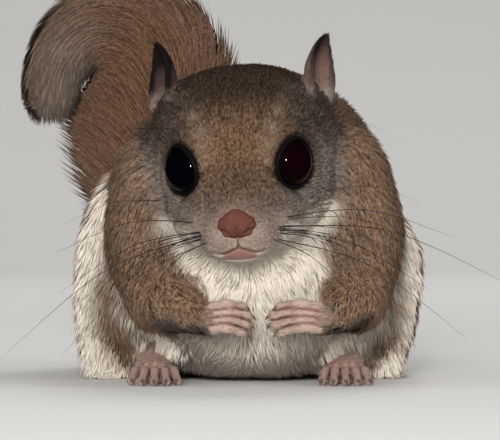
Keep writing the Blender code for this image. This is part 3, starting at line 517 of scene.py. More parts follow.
# %% [markdown]
# ## Which part of the body a point belongs to
# Coat, colour and depth change from part to part. The nearest solid gives each point of the skin its part,
# and the shares are then spread over the mesh, so that one part's coat passes softly into the next.

# %% Parts and relaxing
# For each part: how much it is relaxed and how deep it sinks, then the length and width of its tufts, how
# many stand on a square millimetre and the angle they rise at
PART_ROWS = {
    "head": (0.02, 0.75, 2.4, 0.20, 15.5, 24),
    "ear": (0.015, 0.0, 0.9, 0.09, 8.0, 14),
    "trunk": (0.5, 2.0, 5.0, 0.30, 7.0, 29),
    "upper_arm": (0.4, 1.6, 4.3, 0.26, 10.5, 28),
    "forearm": (0.12, 1.0, 2.8, 0.22, 12.0, 24),
    "hand": (0.01, 0.1, 1.3, 0.09, 9.0, 16),
    "leg": (0.4, 1.6, 4.6, 0.33, 6.5, 29),
    "foot": (0.01, 0.1, 1.2, 0.11, 8.0, 14),
    "membrane": (0.3, 1.3, 4.4, 0.28, 8.0, 25),
    "tail": (0.1, 0.0, 5.0, 0.38, 0.0, 20),
}
PARTS = tuple(PART_ROWS)
EASE, DEPTH, LONGEST, WIDEST, SPACING, RISE = np.array(list(PART_ROWS.values())).T.copy()
NODE_PART = {"head": "head", "nose": "head", "neck": "trunk", "torso": "trunk"}
for side in SIDES:
    NODE_PART |= {f"ear_{side}": "ear", f"upper_arm_{side}": "upper_arm", f"forearm_{side}": "forearm"}
    NODE_PART |= {f"hand_{side}": "hand", f"hind_leg_{side}": "leg", f"foot_{side}": "foot"}
    NODE_PART |= {f"patagium_{side}": "membrane"}
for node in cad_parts:
    if node.startswith("tail"):
        NODE_PART[node] = "tail"
SAMPLES_PER_NODE = 3000


def sampled(points, triangles, count, weight=1.0):
    """Triangle numbers and corner shares of points spread evenly over a mesh, or by a weight."""
    total = np.cumsum(np.linalg.norm(face_crosses(points, triangles), axis=1) / 2 * weight)
    pick = np.searchsorted(total, (np.arange(count) + rng.random(count)) / count * total[-1])
    pick = np.minimum(pick, len(triangles) - 1)
    a, b = np.sqrt(rng.random(count)), rng.random(count)
    return pick, np.stack([1 - a, a * (1 - b), a * b], axis=1)


def filled_tree(spots):
    """A search tree of points that gives their numbers."""
    tree = KDTree(len(spots))
    for i, spot in enumerate(spots):
        tree.insert(spot, i)
    tree.balance()
    return tree


def part_finder():
    """A tree of points on the solids, with the number of each one's part."""
    spots, numbers = [], []
    for name, part in NODE_PART.items():
        p, t, _ = read_mesh(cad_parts[name].data)
        pick, share = sampled(p, t, SAMPLES_PER_NODE)
        spots.append(np.einsum("nk,nkj->nj", share, p[t[pick]]))
        numbers.append(np.full(SAMPLES_PER_NODE, PARTS.index(part)))
    return filled_tree(np.vstack(spots)), np.concatenate(numbers)


def relaxed(values, edges, weight, rounds):
    """Moves each value towards the mean of its neighbours."""
    a, b = edges.T
    count = len(values)
    near = np.maximum(np.bincount(a, minlength=count) + np.bincount(b, minlength=count), 1)
    weight = np.broadcast_to(weight, (count,))[:, None]
    for _ in range(rounds):
        total = [np.bincount(a, v[b], count) + np.bincount(b, v[a], count) for v in values.T]
        values = values + weight * (np.stack(total, axis=1) / near[:, None] - values)
    return values


part_tree, part_numbers = part_finder()


def parts_of(points, edges, spread=24):
    """Each point's shares of the parts, and the number of its nearest part."""
    number = np.array([part_numbers[part_tree.find(p)[1]] for p in points])
    shares = np.zeros((len(points), len(PARTS)))
    shares[np.arange(len(points)), number] = 1.0
    return relaxed(shares, edges, 0.6, spread), number


def eye_distance(spot, side):
    return distance(spot, mirrored(EYE_CENTRE, side))


shares, _ = parts_of(skin_points, skin_edges)
skin_points = relaxed(skin_points, skin_edges, shares @ EASE, 120)
depth = shares @ DEPTH
spot = to_head(skin_points)
muzzle = smooth(-9.0, -16.0, spot[:, 1]) * smooth(8.0, 5.0, np.abs(spot[:, 0]))
depth *= 1 - 0.75 * muzzle * (shares[:, 0] > 0.3)
for side in SIDES:
    depth *= smooth(EYE_RADIUS + 0.4, EYE_RADIUS + 3.0, eye_distance(spot, side))
depth_here = relaxed(depth[:, None], skin_edges, 0.5, 10)
skin_points = skin_points - normals_of(skin_points, skin_tris) * depth_here
print("mean depth of the coat:", round(float(depth.mean()), 2), "mm")

# %% [markdown]
# ## Fewer faces where the coat hides them, more on the face
# A collapse of edges, held off the face, hands and feet by a vertex group, keeps the skin light. The faces
# round the eyes, the nose and the mouth are then split once, so that the lids and lips can be sculpted
# sharply.

# %% Thin and split the mesh
KEEP_RATIO = 0.56


def stored(mesh_name, points, triangles):
    """A mesh from arrays of points and triangles."""
    mesh = bpy.data.meshes.new(mesh_name)
    mesh.vertices.add(len(points))
    mesh.vertices.foreach_set("co", (np.asarray(points) * MM).ravel())
    mesh.loops.add(len(triangles) * 3)
    mesh.loops.foreach_set("vertex_index", np.asarray(triangles).ravel())
    mesh.polygons.add(len(triangles))
    mesh.polygons.foreach_set("loop_start", np.arange(0, len(triangles) * 3, 3))
    mesh.update(calc_edges=True)
    return mesh


skin = linked("squirrel_skin", stored("squirrel_skin", skin_points, skin_tris))
hidden = skin.vertex_groups.new(name="under_coat")
bare = shares[:, [PARTS.index(p) for p in ("hand", "foot", "ear")]].sum(axis=1) + 1.5 * muzzle
spot = to_head(skin_points)
for side in SIDES:
    bare += smooth(9.0, 6.5, eye_distance(spot, side))
for level in (0.0, 0.5, 1.0):
    rows = np.where(np.abs(np.clip(1 - bare, 0, 1) - level) <= 0.25)[0]
    hidden.add(rows.tolist(), level, "REPLACE")
change = skin.modifiers.new("thin", "DECIMATE")
change.ratio = KEEP_RATIO
change.vertex_group = "under_coat"
thinned = evaluated(skin)
skin.modifiers.clear()
shape = bmesh.new()
shape.from_mesh(thinned)
shape.verts.ensure_lookup_table()
spot = to_head(np.array([v.co for v in shape.verts]) / MM)
fine = (spot[:, 1] < -13.5) & (spot[:, 2] < -3.0) & (np.abs(spot[:, 0]) < 8.0)
for side in SIDES:
    along = unit(spot - mirrored(EYE_CENTRE, side)) @ eye_axis(side)
    fine |= (eye_distance(spot, side) < EYE_RADIUS + 1.2) & (along > 0.1)
split = [e for e in shape.edges if fine[e.verts[0].index] and fine[e.verts[1].index]]
bmesh.ops.subdivide_edges(shape, edges=split, cuts=1, use_grid_fill=True)
bmesh.ops.triangulate(shape, faces=shape.faces[:])
shape.to_mesh(thinned)
shape.free()
skin_points, skin_tris, skin_edges = read_mesh(thinned)
print("skin:", len(skin_points), "points,", len(skin_tris), "triangles")

# %% [markdown]
# ## Lids, lips and the line of the mouth
# Seen along the eye's axis the lids are a nearly round opening, a little longer to the corners of the eye.
# Inside it the skin is pushed back behind the eyeball, and round it the skin stands a little proud of the
# ball, which gives a soft rim of even width. The mouth is a narrow groove below the nose, an upside-down
# Y, and the lips swell on both sides of it.

# %% Sculpt the face
LIP_LINE = np.array([(0.0, -9.0), (0.9, -9.4), (1.9, -9.95), (2.8, -10.2), (3.7, -10.05)])
PHILTRUM = np.array([(0.0, -7.2), (0.0, -9.0)])
LID_ANGLE = math.asin(EYE_OPENING / EYE_RADIUS)
EYE_STRETCH = 0.06
LID_SINK, LID_RISE = 0.75, 1.15
ORBIT_SLOPE, ORBIT_REACH = 9.0, 0.42
GROOVE_REACH = 0.24
SKIN_OFF_FLOOR, TUFTS_OFF_FLOOR, CLAWS_OFF_FLOOR = 0.02, 0.05, 0.04


def line_distance(x, z, line):
    """Distance from each point to an open chain of points in the plane."""
    best = np.full(len(x), 1e9)
    for (x0, z0), (x1, z1) in zip(line, line[1:]):
        run = np.array((x1 - x0, z1 - z0))
        t = np.clip(((x - x0) * run[0] + (z - z0) * run[1]) / (run @ run), 0, 1)
        best = np.minimum(best, np.hypot(x - x0 - t * run[0], z - z0 - t * run[1]))
    return best


def lid_opening(way, side):
    """The half angle of the opening in each direction, a little wider to the two corners of the eye."""
    axis = eye_axis(side)
    level = unit(np.cross((0.0, 0.0, 1.0), axis))
    high = np.cross(axis, level)
    turn = np.arctan2(way @ high, way @ level)
    return LID_ANGLE * (1 + EYE_STRETCH * np.cos(2 * (turn - 0.35 * SIDES[side])))


def lip_height(x):
    """How high the line of the mouth runs at each place across."""
    return np.interp(np.abs(x), LIP_LINE[:, 0], LIP_LINE[:, 1])


def around_eye(spot, side):
    """Distance and way from the eye's middle, and the angle beyond the edge of its lids."""
    away = eye_distance(spot, side)
    way = (spot - mirrored(EYE_CENTRE, side)) / away[:, None]
    return away, way, np.arccos(np.clip(way @ eye_axis(side), -1, 1)) - lid_opening(way, side)


spot = to_head(skin_points)
normals = normals_of(skin_points, skin_tris) @ HEAD_TURN
front = (spot[:, 1] < -11.0) & (normals[:, 1] < 0.35)
lip = line_distance(np.abs(spot[:, 0]), spot[:, 2], LIP_LINE)
philtrum = line_distance(spot[:, 0], spot[:, 2], PHILTRUM)
above = spot[:, 2] - lip_height(spot[:, 0])
sink = 0.50 * bump_at(lip, GROOVE_REACH) + 0.36 * bump_at(philtrum, GROOVE_REACH)
sink -= 0.24 * bump_at(above - 0.75, 0.5) * bump_at(spot[:, 0], 4.5)
spot -= normals * (sink * front)[:, None]
for side in SIDES:
    away, way, beyond = around_eye(spot, side)
    rim = EYE_RADIUS - LID_SINK + LID_RISE * smooth(-0.05, 0.09, beyond)
    rim += ORBIT_SLOPE * np.maximum(beyond - 0.08, 0.0) ** 1.25
    inside = (away < EYE_RADIUS + 2.6) & (beyond < ORBIT_REACH)
    spot = mirrored(EYE_CENTRE, side) + way * np.where(inside, np.minimum(away, rim), away)[:, None]
skin_points = from_head(spot)
digits = mesh_object("digits", *joined(digit_parts))
form, form_tris, form_edges = read_mesh(digits.data)
bpy.data.objects.remove(digits, do_unlink=True)
skin_tris = np.vstack([skin_tris, form_tris + len(skin_points)])
skin_edges = np.vstack([skin_edges, form_edges + len(skin_points)])
skin_points = np.vstack([skin_points, form])
skin_points[:, 2] = np.maximum(skin_points[:, 2], SKIN_OFF_FLOOR)
print("mouth and lids cut, digits added")

# %% [markdown]
# ## How the coat lies, and its colours
# Fur runs back from the nose over the head, down the flanks and along the limbs. The colours are soft
# masks from 0 to 1. The skin and the tufts carry the same masks, so that what shows between the tufts is
# the same colour as they are. The limits given to smooth are millimetres in the head's axes for the face,
# and heights in millimetres or parts of a unit normal for the rest. The numbers before the products say
# how strongly a mask shows there.

# %% Lie of the coat
NOSE_TIP = np.array((0.0, -19.5, -5.0))
ARM_POINTS = {
    "left": ((15.0, 28.0, 31.5), (16.4, 20.0, 14.2), (13.3, 9.0, 10.8)),
    "right": ((-14.6, 28.0, 31.0), (-14.2, 20.0, 13.8), (-8.6, 8.4, 10.8)),
}


def lie_of_coat(points, normals, shares):
    """The way the tufts point at each spot, along the skin."""
    side = np.sign(points[:, 0] - SHIFT[0])
    column = side[:, None]
    spot = to_head(points)
    made = np.zeros((len(PARTS), len(points), 3))

    def put(part, *way):
        made[PARTS.index(part)] = unit(np.stack(np.broadcast_arrays(*way, side)[:3], axis=1))

    back = unit(spot - NOSE_TIP + (0.0, 0.0, 1.0))
    back[:, 2] -= 0.5 * smooth(7.0, 13.0, np.abs(spot[:, 0])) * smooth(2.0, -6.0, spot[:, 2])
    made[0] = back @ HEAD_TURN.T
    ahead, up = smooth(0.1, -0.5, normals[:, 1]), normals[:, 2]
    chest = smooth(0.1, -0.6, normals[:, 1]) * smooth(0.45, 0.1, up)
    withers = ahead * smooth(0.1, 0.5, up) * smooth(30.0, 38.0, points[:, 2])
    put("trunk", side * (0.15 + 0.25 * chest), 0.9 * (1 - chest), -0.45 - 0.55 * chest + withers)
    for name, sign in SIDES.items():
        turn, _ = ear_matrix(name)
        shoulder, elbow, wrist = np.array(ARM_POINTS[name])
        ways = (
            (1, HEAD_TURN @ turn @ np.array((0.0, 0.0, 1.0))),
            (3, unit(elbow - shoulder) + (0.25 * sign, 0.1, 0.0)),
            (4, unit(wrist - elbow) + (0.0, 0.0, -0.35)),
        )
        for number, way in ways:
            made[number] = np.where(column == sign, way, made[number])
    put("hand", -side, -0.2, -0.15)
    put("leg", side * 0.2, -0.25, -0.9)
    put("foot", 0.0, -1.0, -0.1)
    put("membrane", side * 0.35, 0.25, -0.9)
    put("tail", 0.0, 0.3, 1.0)
    flow = np.einsum("pnj,np->nj", unit(made), shares)
    flow = flow + WAVE_HEIGHT * np.stack([np.sin(points @ k + s) for k, s in WAVES], axis=1)
    flow -= np.sum(flow * normals, axis=1)[:, None] * normals
    return unit(flow)


WAVE_HEIGHT = 0.16
WAVES = (
    (np.array((0.9, 0.5, 1.3)), 0.3),
    (np.array((1.2, -0.8, 0.6)), 1.9),
    (np.array((-0.5, 1.1, 1.0)), 4.1),
)

# %% Masks of colour
MASKS = ("pale", "dark", "warm", "grey", "pink", "red")
STREAK_REACH = 1.15
STREAK = (
    (3.8, -9.2, 1.8), (4.5, -7.8, 3.4), (5.4, -5.8, 5.2), (6.2, -3.6, 6.8), (7.0, -1.2, 8.1),
    (7.8, 1.5, 9.2),
)
UNDER_EYE, BRIDGE, NOSE_MIDDLE = (9.0, -8.5, -6.0), (0.0, -14.0, -0.5), (0.0, -18.0, -5.6)


def near(points, place, reach):
    return bump_at(distance(points, place), reach)


def ear_places(h, side):
    """How far up its ear each spot is, and how near to the ear's thin edge, both from 0 to 1."""
    up, rim = np.zeros(len(h)), np.zeros(len(h))
    for name, sign in SIDES.items():
        turn, root = ear_matrix(name)
        local = (h - root) @ turn
        share = np.clip(local[:, 2] / EAR_HEIGHT, 0.0, 1.0)
        run, span, lean = (np.interp(share, EAR_STATIONS[:, 0], EAR_STATIONS[:, k]) for k in (1, 2, 3))
        radius = run / np.radians(span)
        angle = np.degrees(np.arctan2(np.abs(local[:, 0]), local[:, 1] + 0.4 * radius - lean))
        up = np.where(side == sign, share, up)
        rim = np.where(side == sign, smooth(0.72, 0.98, angle / span), rim)
    return up, rim


def between_digits(points):
    """Near 1 where a spot is as close to one digit's middle line as to the next one's."""
    away = []
    for knuckle, bend, tip, _ in DIGITS:
        line = through([knuckle, bend, tip], 9)
        away.append(np.min(np.linalg.norm(points[:, None] - line[None], axis=2), axis=1))
    first, second = np.sort(away, axis=0)[:2]
    return smooth(0.42, 0.12, second - first) * smooth(1.9, 1.3, first)


def head_masks(h, wobble):
    """Colours of the head, in its own axes."""
    x, y, z = np.abs(h[:, 0]), h[:, 1], h[:, 2]
    below = smooth(1.2, -1.4, z + 10.2 - 2.8 * smooth(3.4, 7.0, x) + 0.45 * wobble)
    ring = np.zeros(len(h))
    for name, sign in SIDES.items():
        away, way, beyond = around_eye(h, name)
        beyond -= 0.09 * smooth(0.0, 0.9, -way[:, 0] * sign)
        close = smooth(EYE_RADIUS + 3.0, EYE_RADIUS + 2.0, away)
        ring = np.maximum(ring, smooth(0.19, 0.08, beyond) * close)
    streak = np.max([near(h, mirrored(p, s), STREAK_REACH) for s in SIDES for p in STREAK], axis=0)
    under_eye = np.max([near(h, mirrored(UNDER_EYE, s), 3.4) for s in SIDES], axis=0)
    temple = smooth(6.5, 9.5, x) * smooth(-3.0, 1.0, z) * smooth(-6.0, -2.0, y) * (1 - streak)
    lips = smooth(0.1, -0.1, z - lip_height(x)) * smooth(-11.6, -11.2, z)
    lips *= smooth(2.9, 2.0, x) * smooth(-13.0, -15.0, y)
    mouth = np.minimum(line_distance(x, z, LIP_LINE), line_distance(h[:, 0], z, PHILTRUM))
    # Painted shade: dark red along the groove of the mouth and the philtrum
    painted_groove_shade = bump_at(mouth, 0.17) * smooth(-12.0, -13.5, y) * smooth(5.0, 3.0, x)
    muzzle = smooth(-9.0, -14.5, y)
    jowl = 0.75 * muzzle * smooth(2.6, 4.8, x) * smooth(-6.8, -9.6, z)
    crown = smooth(2.5, 9.5, z) * smooth(-9.5, -1.0, y)
    cheek = smooth(2.5, -1.5, z - 0.25 * (x - 8)) * smooth(4.5, 7.5, x) * (1 - muzzle) * smooth(9.0, 2.0, y)
    pale = (below * (1 - 0.2 * muzzle), 0.18 * streak, 0.12 * cheek, 0.26 * under_eye, jowl)
    bridge = 0.26 * near(h, BRIDGE, 2.4)
    snout_pink = 0.30 * muzzle * smooth(-4.0, -8.0, z) * (1 - below)
    return {
        "pale": np.maximum.reduce([*pale, 0.30 * muzzle * smooth(-3.5, -7.0, z)]),
        "dark": np.maximum.reduce([ring, 0.60 * crown, 0.52 * temple, 0.4 * painted_groove_shade, bridge, 0.14 * cheek]),
        "warm": 0.42 * smooth(7.0, 2.0, x) * smooth(9.0, 3.0, z) * (1 - muzzle) + 0.45 * streak,
        "grey": np.maximum.reduce([0.85 * cheek, 0.70 * muzzle * smooth(0.0, -4.0, z), 0.5 * temple]),
        "pink": np.maximum.reduce([0.55 * near(h, NOSE_MIDDLE, 2.8), 0.8 * lips, snout_pink]),
        "red": 0.42 * lips + 0.30 * painted_groove_shade,
    }


def masks_of(points, normals, shares):
    """The six masks at each spot of the skin, blended from one table for each part."""
    h = to_head(points)
    height = points[:, 2]
    side = np.sign(points[:, 0] - SHIFT[0])
    up, fore, outward = normals[:, 2], -normals[:, 1], normals[:, 0] * side
    part = {name: shares[:, k] for k, name in enumerate(PARTS)}
    first, second = (np.sin(points @ np.array(k)) for k in ((0.9, 0.4, 0.7), (-0.7, 0.8, 1.1)))
    wobble = 0.5 * first + 0.4 * second
    ear_up, ear_rim = ear_places(h, side)
    bare = smooth(0.22, 0.48, ear_up)
    # The bare ear is darkened by 0.50, and the right ear by 0.34 more, which is painted shade on that ear
    ear_dark_and_painted_shade = 0.50 + 0.34 * (side < 0)
    high = smooth(15.0, 21.0, height)
    beside = high * smooth(9.0, 12.5, np.abs(points[:, 0] - SHIFT[0]))
    under = smooth(0.15, 0.55, 0.75 * fore - 0.65 * up + 0.12 * wobble) * (1 - beside)
    inner = smooth(0.35, 0.8, -outward) * smooth(0.3, -0.2, up)
    edge = smooth(0.45, 0.95, outward) * smooth(12.0, 22.0, height)
    sole = smooth(0.1, -0.6, up)
    # Painted shade: dark red lines where neighbouring digits lie close together
    painted_gap_shade = np.zeros(len(points))
    limb_end = np.where(part["hand"] + part["foot"] > 0.3)[0]
    painted_gap_shade[limb_end] = between_digits(points[limb_end])
    inner_leg = smooth(0.2, 0.7, -outward * 0.6 - up * 0.5 + 0.2 * fore)
    white = smooth(-0.06, 0.26, fore - 0.10 * np.maximum(outward, 0.0) + 0.06 * wobble)
    rim = smooth(0.06, -0.12, fore) * smooth(-0.5, -0.2, fore)
    tables = {
        "head": head_masks(h, wobble),
        "ear": {
            "pale": 0.25 * (1 - bare),
            "dark": ear_dark_and_painted_shade * bare + 0.4 * smooth(0.5, 1.0, ear_up) + 0.3 * ear_rim,
            "grey": 1 - 0.3 * bare,
            "pink": 0.60 * bare * (1 - 0.5 * ear_rim),
        },
        "trunk": {"pale": under, "warm": 0.25, "grey": 0.25},
        "upper_arm": {"pale": 0.9 * inner * (1 - high), "dark": 0.30 * edge, "warm": 0.35, "grey": 0.2},
        "forearm": {
            "pale": 0.35 * inner, "dark": 0.65 * sole, "warm": 0.5 * (1 - sole), "grey": 0.2 + 0.6 * sole
        },
        "hand": {"pale": 0.75, "pink": 0.62, "red": 0.75 * painted_gap_shade},
        "leg": {"pale": 0.9 * inner_leg, "warm": 0.4, "grey": 0.2},
        "foot": {"pale": 0.5, "grey": 0.35, "pink": 0.62, "red": 0.6 * painted_gap_shade},
        "membrane": {"pale": white, "dark": 0.5 * rim, "warm": 0.45 * (1 - white), "grey": 0.2},
        "tail": {"warm": 0.5, "grey": 0.2, "red": 0.15, "dark": 0.15},
    }
    return {m: sum(part[p] * tables[p].get(m, 0.0) for p in PARTS) for m in MASKS}


shares, part_number = parts_of(skin_points, skin_edges, 16)
normals = normals_of(skin_points, skin_tris)
skin_masks = masks_of(skin_points, normals, shares)
skin_lie = lie_of_coat(skin_points, normals, shares)
print("masks:", {m: round(float(v.mean()), 2) for m, v in skin_masks.items()})

# %% [markdown]
# ## A flat map of the skin
# Baked colours need a place on a flat map for every face. The skin is cut into patches by part of the body
# and by the side that its faces look to, and the patches are set side by side in rows. Each tuft takes a
# tiny patch of the map at its own root.

# %% The map
PATCH_GAP = 1.2
SHEET_STRETCH = 1.12


def flat_map(points, triangles, number):
    """Map places of the three corners of every triangle, from patches by part, side and facing."""
    corner = points[triangles]
    face = face_crosses(points, triangles)
    axis = np.abs(face).argmax(axis=1)
    sign = np.take_along_axis(face, axis[:, None], 1)[:, 0] > 0
    side = corner[:, :, 0].mean(axis=1) > SHIFT[0]
    key = number[triangles[:, 0]] * 12 + axis * 4 + sign * 2 + side
    flat = np.zeros((len(triangles), 3, 2))
    patches = []
    for value in np.unique(key):
        rows = np.where(key == value)[0]
        place = corner[rows][:, :, [k for k in range(3) if k != axis[rows[0]]]]
        low, high = place.min(axis=(0, 1)), place.max(axis=(0, 1))
        patches.append((high - low, rows, place - low))
    patches.sort(key=lambda patch: -patch[0][1])
    area = sum((w + PATCH_GAP) * (h + PATCH_GAP) for (w, h), _, _ in patches)
    width = math.sqrt(area) * SHEET_STRETCH
    x = y = row_height = 0.0
    for (w, h), rows, place in patches:
        if x + w > width:
            x, y, row_height = 0.0, y + row_height, 0.0
        flat[rows] = place + (x, y)
        x += w + PATCH_GAP
        row_height = max(row_height, h + PATCH_GAP)
    return flat / max(width, y + row_height) * 0.98 + 0.01


skin_map = flat_map(skin_points, skin_tris, part_number)
print("map runs to", skin_map.max(axis=(0, 1)).round(3))

# %% Finish the skin's mesh


def add_field(mesh, name, values):
    """One number for each point, under a name that a material reads."""
    field = mesh.attributes.new(name, "FLOAT", "POINT")
    field.data.foreach_set("value", np.asarray(values, np.float32))


def dressed(mesh, flat, fields):
    """Adds the map, the named fields and smooth shading to a mesh."""
    mesh.uv_layers.new(name="OFBake").data.foreach_set("uv", np.asarray(flat, np.float32).ravel())
    for name, values in fields.items():
        add_field(mesh, name, values)
    mesh.shade_smooth()
    return mesh


# The skin counts as hair near its root, neither light nor dark
SKIN_FIELDS = {"along": 0.30, "chance": 0.5}
fields = skin_masks | {name: np.full(len(skin_points), value) for name, value in SKIN_FIELDS.items()}
skin.data = dressed(stored("squirrel_skin", skin_points, skin_tris), skin_map, fields)
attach(skin, "root")
others = ("eye_left", "eye_right", "nose", "whiskers_left", "whiskers_right")
replaced = [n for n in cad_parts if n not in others]
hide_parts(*replaced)

# %% [markdown]
# ## The effect that all fur shares
# One node group turns the masks into colour: brown with light and dark hairs, then ochre, grey and cream,
# a darker root, and pink, red and black over all of them. The skin and every part of the coat use it with
# their own values.

# %% Colour group and materials
HAIR_COLOURS = {
    "brown light": (0.245, 0.150, 0.092),
    "brown dark": (0.046, 0.028, 0.018),
    "grey": (0.192, 0.150, 0.126),
    "warm": (0.30, 0.172, 0.090),
    "pale": (0.70, 0.625, 0.530),
    "dark": (0.009, 0.007, 0.007),
    "pink": (0.37, 0.21, 0.175),
    "red": (0.16, 0.042, 0.030),
}


FIELDS = MASKS + ("along", "chance")
SPECKLE_SCALE, SPECKLE_GAIN, SPECKLE_OFFSET, CHANCE_GAIN = 1900.0, 2.6, -1.12, 0.75


def feed(node, values):
    """Gives each input in a table its link, its colour or its number."""
    for key, value in values.items():
        socket = node.inputs[key]
        if isinstance(value, bpy.types.NodeSocket):
            node.id_data.links.new(value, socket)
        else:
            socket.default_value = (*value, 1.0) if socket.type == "RGBA" else value
    return node


def mixed(tree, factor, first, second):
    """A mix of two colours, from sockets or plain values."""
    node = tree.nodes.new("ShaderNodeMix")
    node.data_type = "RGBA"
    return feed(node, {0: factor, 6: first, 7: second}).outputs[2]


def worked(tree, operation, *values, clamp=False):
    """A math node whose inputs are sockets or numbers."""
    node = tree.nodes.new("ShaderNodeMath")
    node.operation = operation
    node.use_clamp = clamp
    return feed(node, dict(enumerate(values))).outputs[0]


def noise_at(tree, scale, detail=4.0):
    """Noise over the object's own coordinates."""
    place = tree.nodes.new("ShaderNodeTexCoord").outputs["Object"]
    noise = tree.nodes.new("ShaderNodeTexNoise")
    return feed(noise, {"Vector": place, "Scale": scale, "Detail": detail}).outputs[0]


def field_at(tree, name):
    """What the mesh carries under a name."""
    reader = tree.nodes.new("ShaderNodeAttribute")
    reader.attribute_name = name
    return reader.outputs["Fac"]


def coat_group():
    """The node group from masks to colour."""
    tree = bpy.data.node_groups.new("coat_colour", "ShaderNodeTree")
    for name in FIELDS + ("root_shade",):
        tree.interface.new_socket(name, in_out="INPUT", socket_type="NodeSocketFloat")
    tree.interface.new_socket("Colour", in_out="OUTPUT", socket_type="NodeSocketColor")
    given = tree.nodes.new("NodeGroupInput").outputs
    speckle = worked(tree, "MULTIPLY_ADD", noise_at(tree, SPECKLE_SCALE, 3.0), SPECKLE_GAIN, SPECKLE_OFFSET)
    speckle = worked(tree, "MULTIPLY_ADD", given["chance"], CHANCE_GAIN, speckle, clamp=True)
    colour = mixed(tree, speckle, HAIR_COLOURS["brown dark"], HAIR_COLOURS["brown light"])
    lit = worked(tree, "MULTIPLY_ADD", speckle, 0.95, 0.45)
    for name in ("warm", "grey"):
        tint = tree.nodes.new("ShaderNodeVectorMath")
        tint.operation = "SCALE"
        feed(tint, {0: HAIR_COLOURS[name], "Scale": lit})
        colour = mixed(tree, given[name], colour, tint.outputs[0])
    colour = mixed(tree, given["pale"], colour, HAIR_COLOURS["pale"])
    shade = worked(tree, "SUBTRACT", 1.0, worked(tree, "POWER", given["along"], 0.7, clamp=True))
    shade = worked(tree, "MULTIPLY", shade, given["root_shade"])
    shade = worked(tree, "MULTIPLY", shade, worked(tree, "MULTIPLY_ADD", given["pale"], -0.96, 1.0))
    colour = mixed(tree, shade, colour, HAIR_COLOURS["dark"])
    for name in ("pink", "red", "dark"):
        colour = mixed(tree, given[name], colour, HAIR_COLOURS[name])
    feed(tree.nodes.new("NodeGroupOutput"), {"Colour": colour})
    return tree


COAT_COLOUR = coat_group()


def hair_colour(tree, root_shade):
    """Colour from the shared group, fed by the masks that the mesh carries."""
    group = tree.nodes.new("ShaderNodeGroup")
    group.node_tree = COAT_COLOUR
    masks = {name: field_at(tree, name) for name in FIELDS}
    return feed(group, {"root_shade": root_shade} | masks).outputs[0]


def noise_colour(tree, colour, other, scale):
    """A colour that changes a little over the surface."""
    return mixed(tree, noise_at(tree, scale), other, colour)


def eyeshine_colour(tree, middle, edge):
    """A faint painted reflection in the middle of the pupil, and the eye's own dark colour round it."""
    return mixed(tree, field_at(tree, "pupil"), edge, middle)


def new_look(name, roughness, specular, colour, *tints, shine=0.0):
    """A material whose colour is made by one of the functions above."""
    made = bpy.data.materials.new(name)
    made.use_nodes = True
    values = {"Roughness": roughness, "Specular IOR Level": specular, "Coat Weight": shine}
    values["Base Color"] = colour(made.node_tree, *tints)
    feed(made.node_tree.nodes["Principled BSDF"], values)
    return made


def add_relief(look, scale, strength, deep):
    """Fine relief from noise, as deep as the given millimetres."""
    tree = look.node_tree
    relief = tree.nodes.new("ShaderNodeBump")
    feed(relief, {"Height": noise_at(tree, scale), "Strength": strength, "Distance": deep * MM})
    feed(tree.nodes["Principled BSDF"], {"Normal": relief.outputs[0]})


def placed(thing, look):
    """Gives a piece its material and body."""
    thing.data.materials.append(look)
    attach(thing, "root")
    return thing


SKIN_LOOK = new_look("skin_under_coat", 0.65, 0.08, hair_colour, 0.4)
add_relief(SKIN_LOOK, 1500.0, 0.5, 0.12)
COAT_LOOK = new_look("coat_hair", 0.52, 0.18, hair_colour, 0.48)
skin.data.materials.append(SKIN_LOOK)
print("group sockets:", [s.name for s in COAT_COLOUR.interface.items_tree])

# %% [markdown]
# ## Tufts
# A tuft is a thin three-sided spike that bends along its path, closed at both ends. The function below
# makes all tufts of a piece at once from arrays, because a loop over more than a hundred thousand of them
# would be slow.

# %% One function for all tufts
PATCH_HALF = 0.0015
RING = np.array([(-1.0, -0.4), (1.0, -0.4), (0.0, 0.8)])
TUFTS_PER_PIECE = 19000
SOFTEN = 0.5
TUFT_STRAY, TUFT_DROOP = 0.12, 0.2
LOCK_PULL = 0.42


def spikes(paths, half, flat, up, profile):
    """Points, triangles and the share along each tuft, for paths of K points."""
    count, steps, _ = paths.shape
    run = unit(np.gradient(paths, axis=1))
    side = unit(np.cross(run, up[:, None, :]))
    over = np.cross(side, run)
    rings = []
    for i in range(steps - 1):
        spread = RING[None, :, :1] * side[:, i, None, :] + flat * RING[None, :, 1:] * over[:, i, None, :]
        rings.append(paths[:, i, None, :] + (half * profile[i])[:, None, None] * spread)
    points = np.concatenate(rings + [paths[:, -1:, :]], axis=1)
    per = points.shape[1]
    corners = ((0, 1), (1, 2), (2, 0))
    faces = [(0, 1, 2)]
    for a in range(0, per - 4, 3):
        for j, k in corners:
            faces += [(a + j, a + 3 + j, a + 3 + k), (a + j, a + 3 + k, a + k)]
    faces += [(per - 4 + j, per - 1, per - 4 + k) for j, k in corners]
    triangles = np.array(faces)[None] + (np.arange(count) * per)[:, None, None]
    along = np.concatenate([np.repeat(np.linspace(0, 1, steps)[:-1], 3), [1.0]])
    return points.reshape(-1, 3), triangles.reshape(-1, 3), np.tile(along, count), per


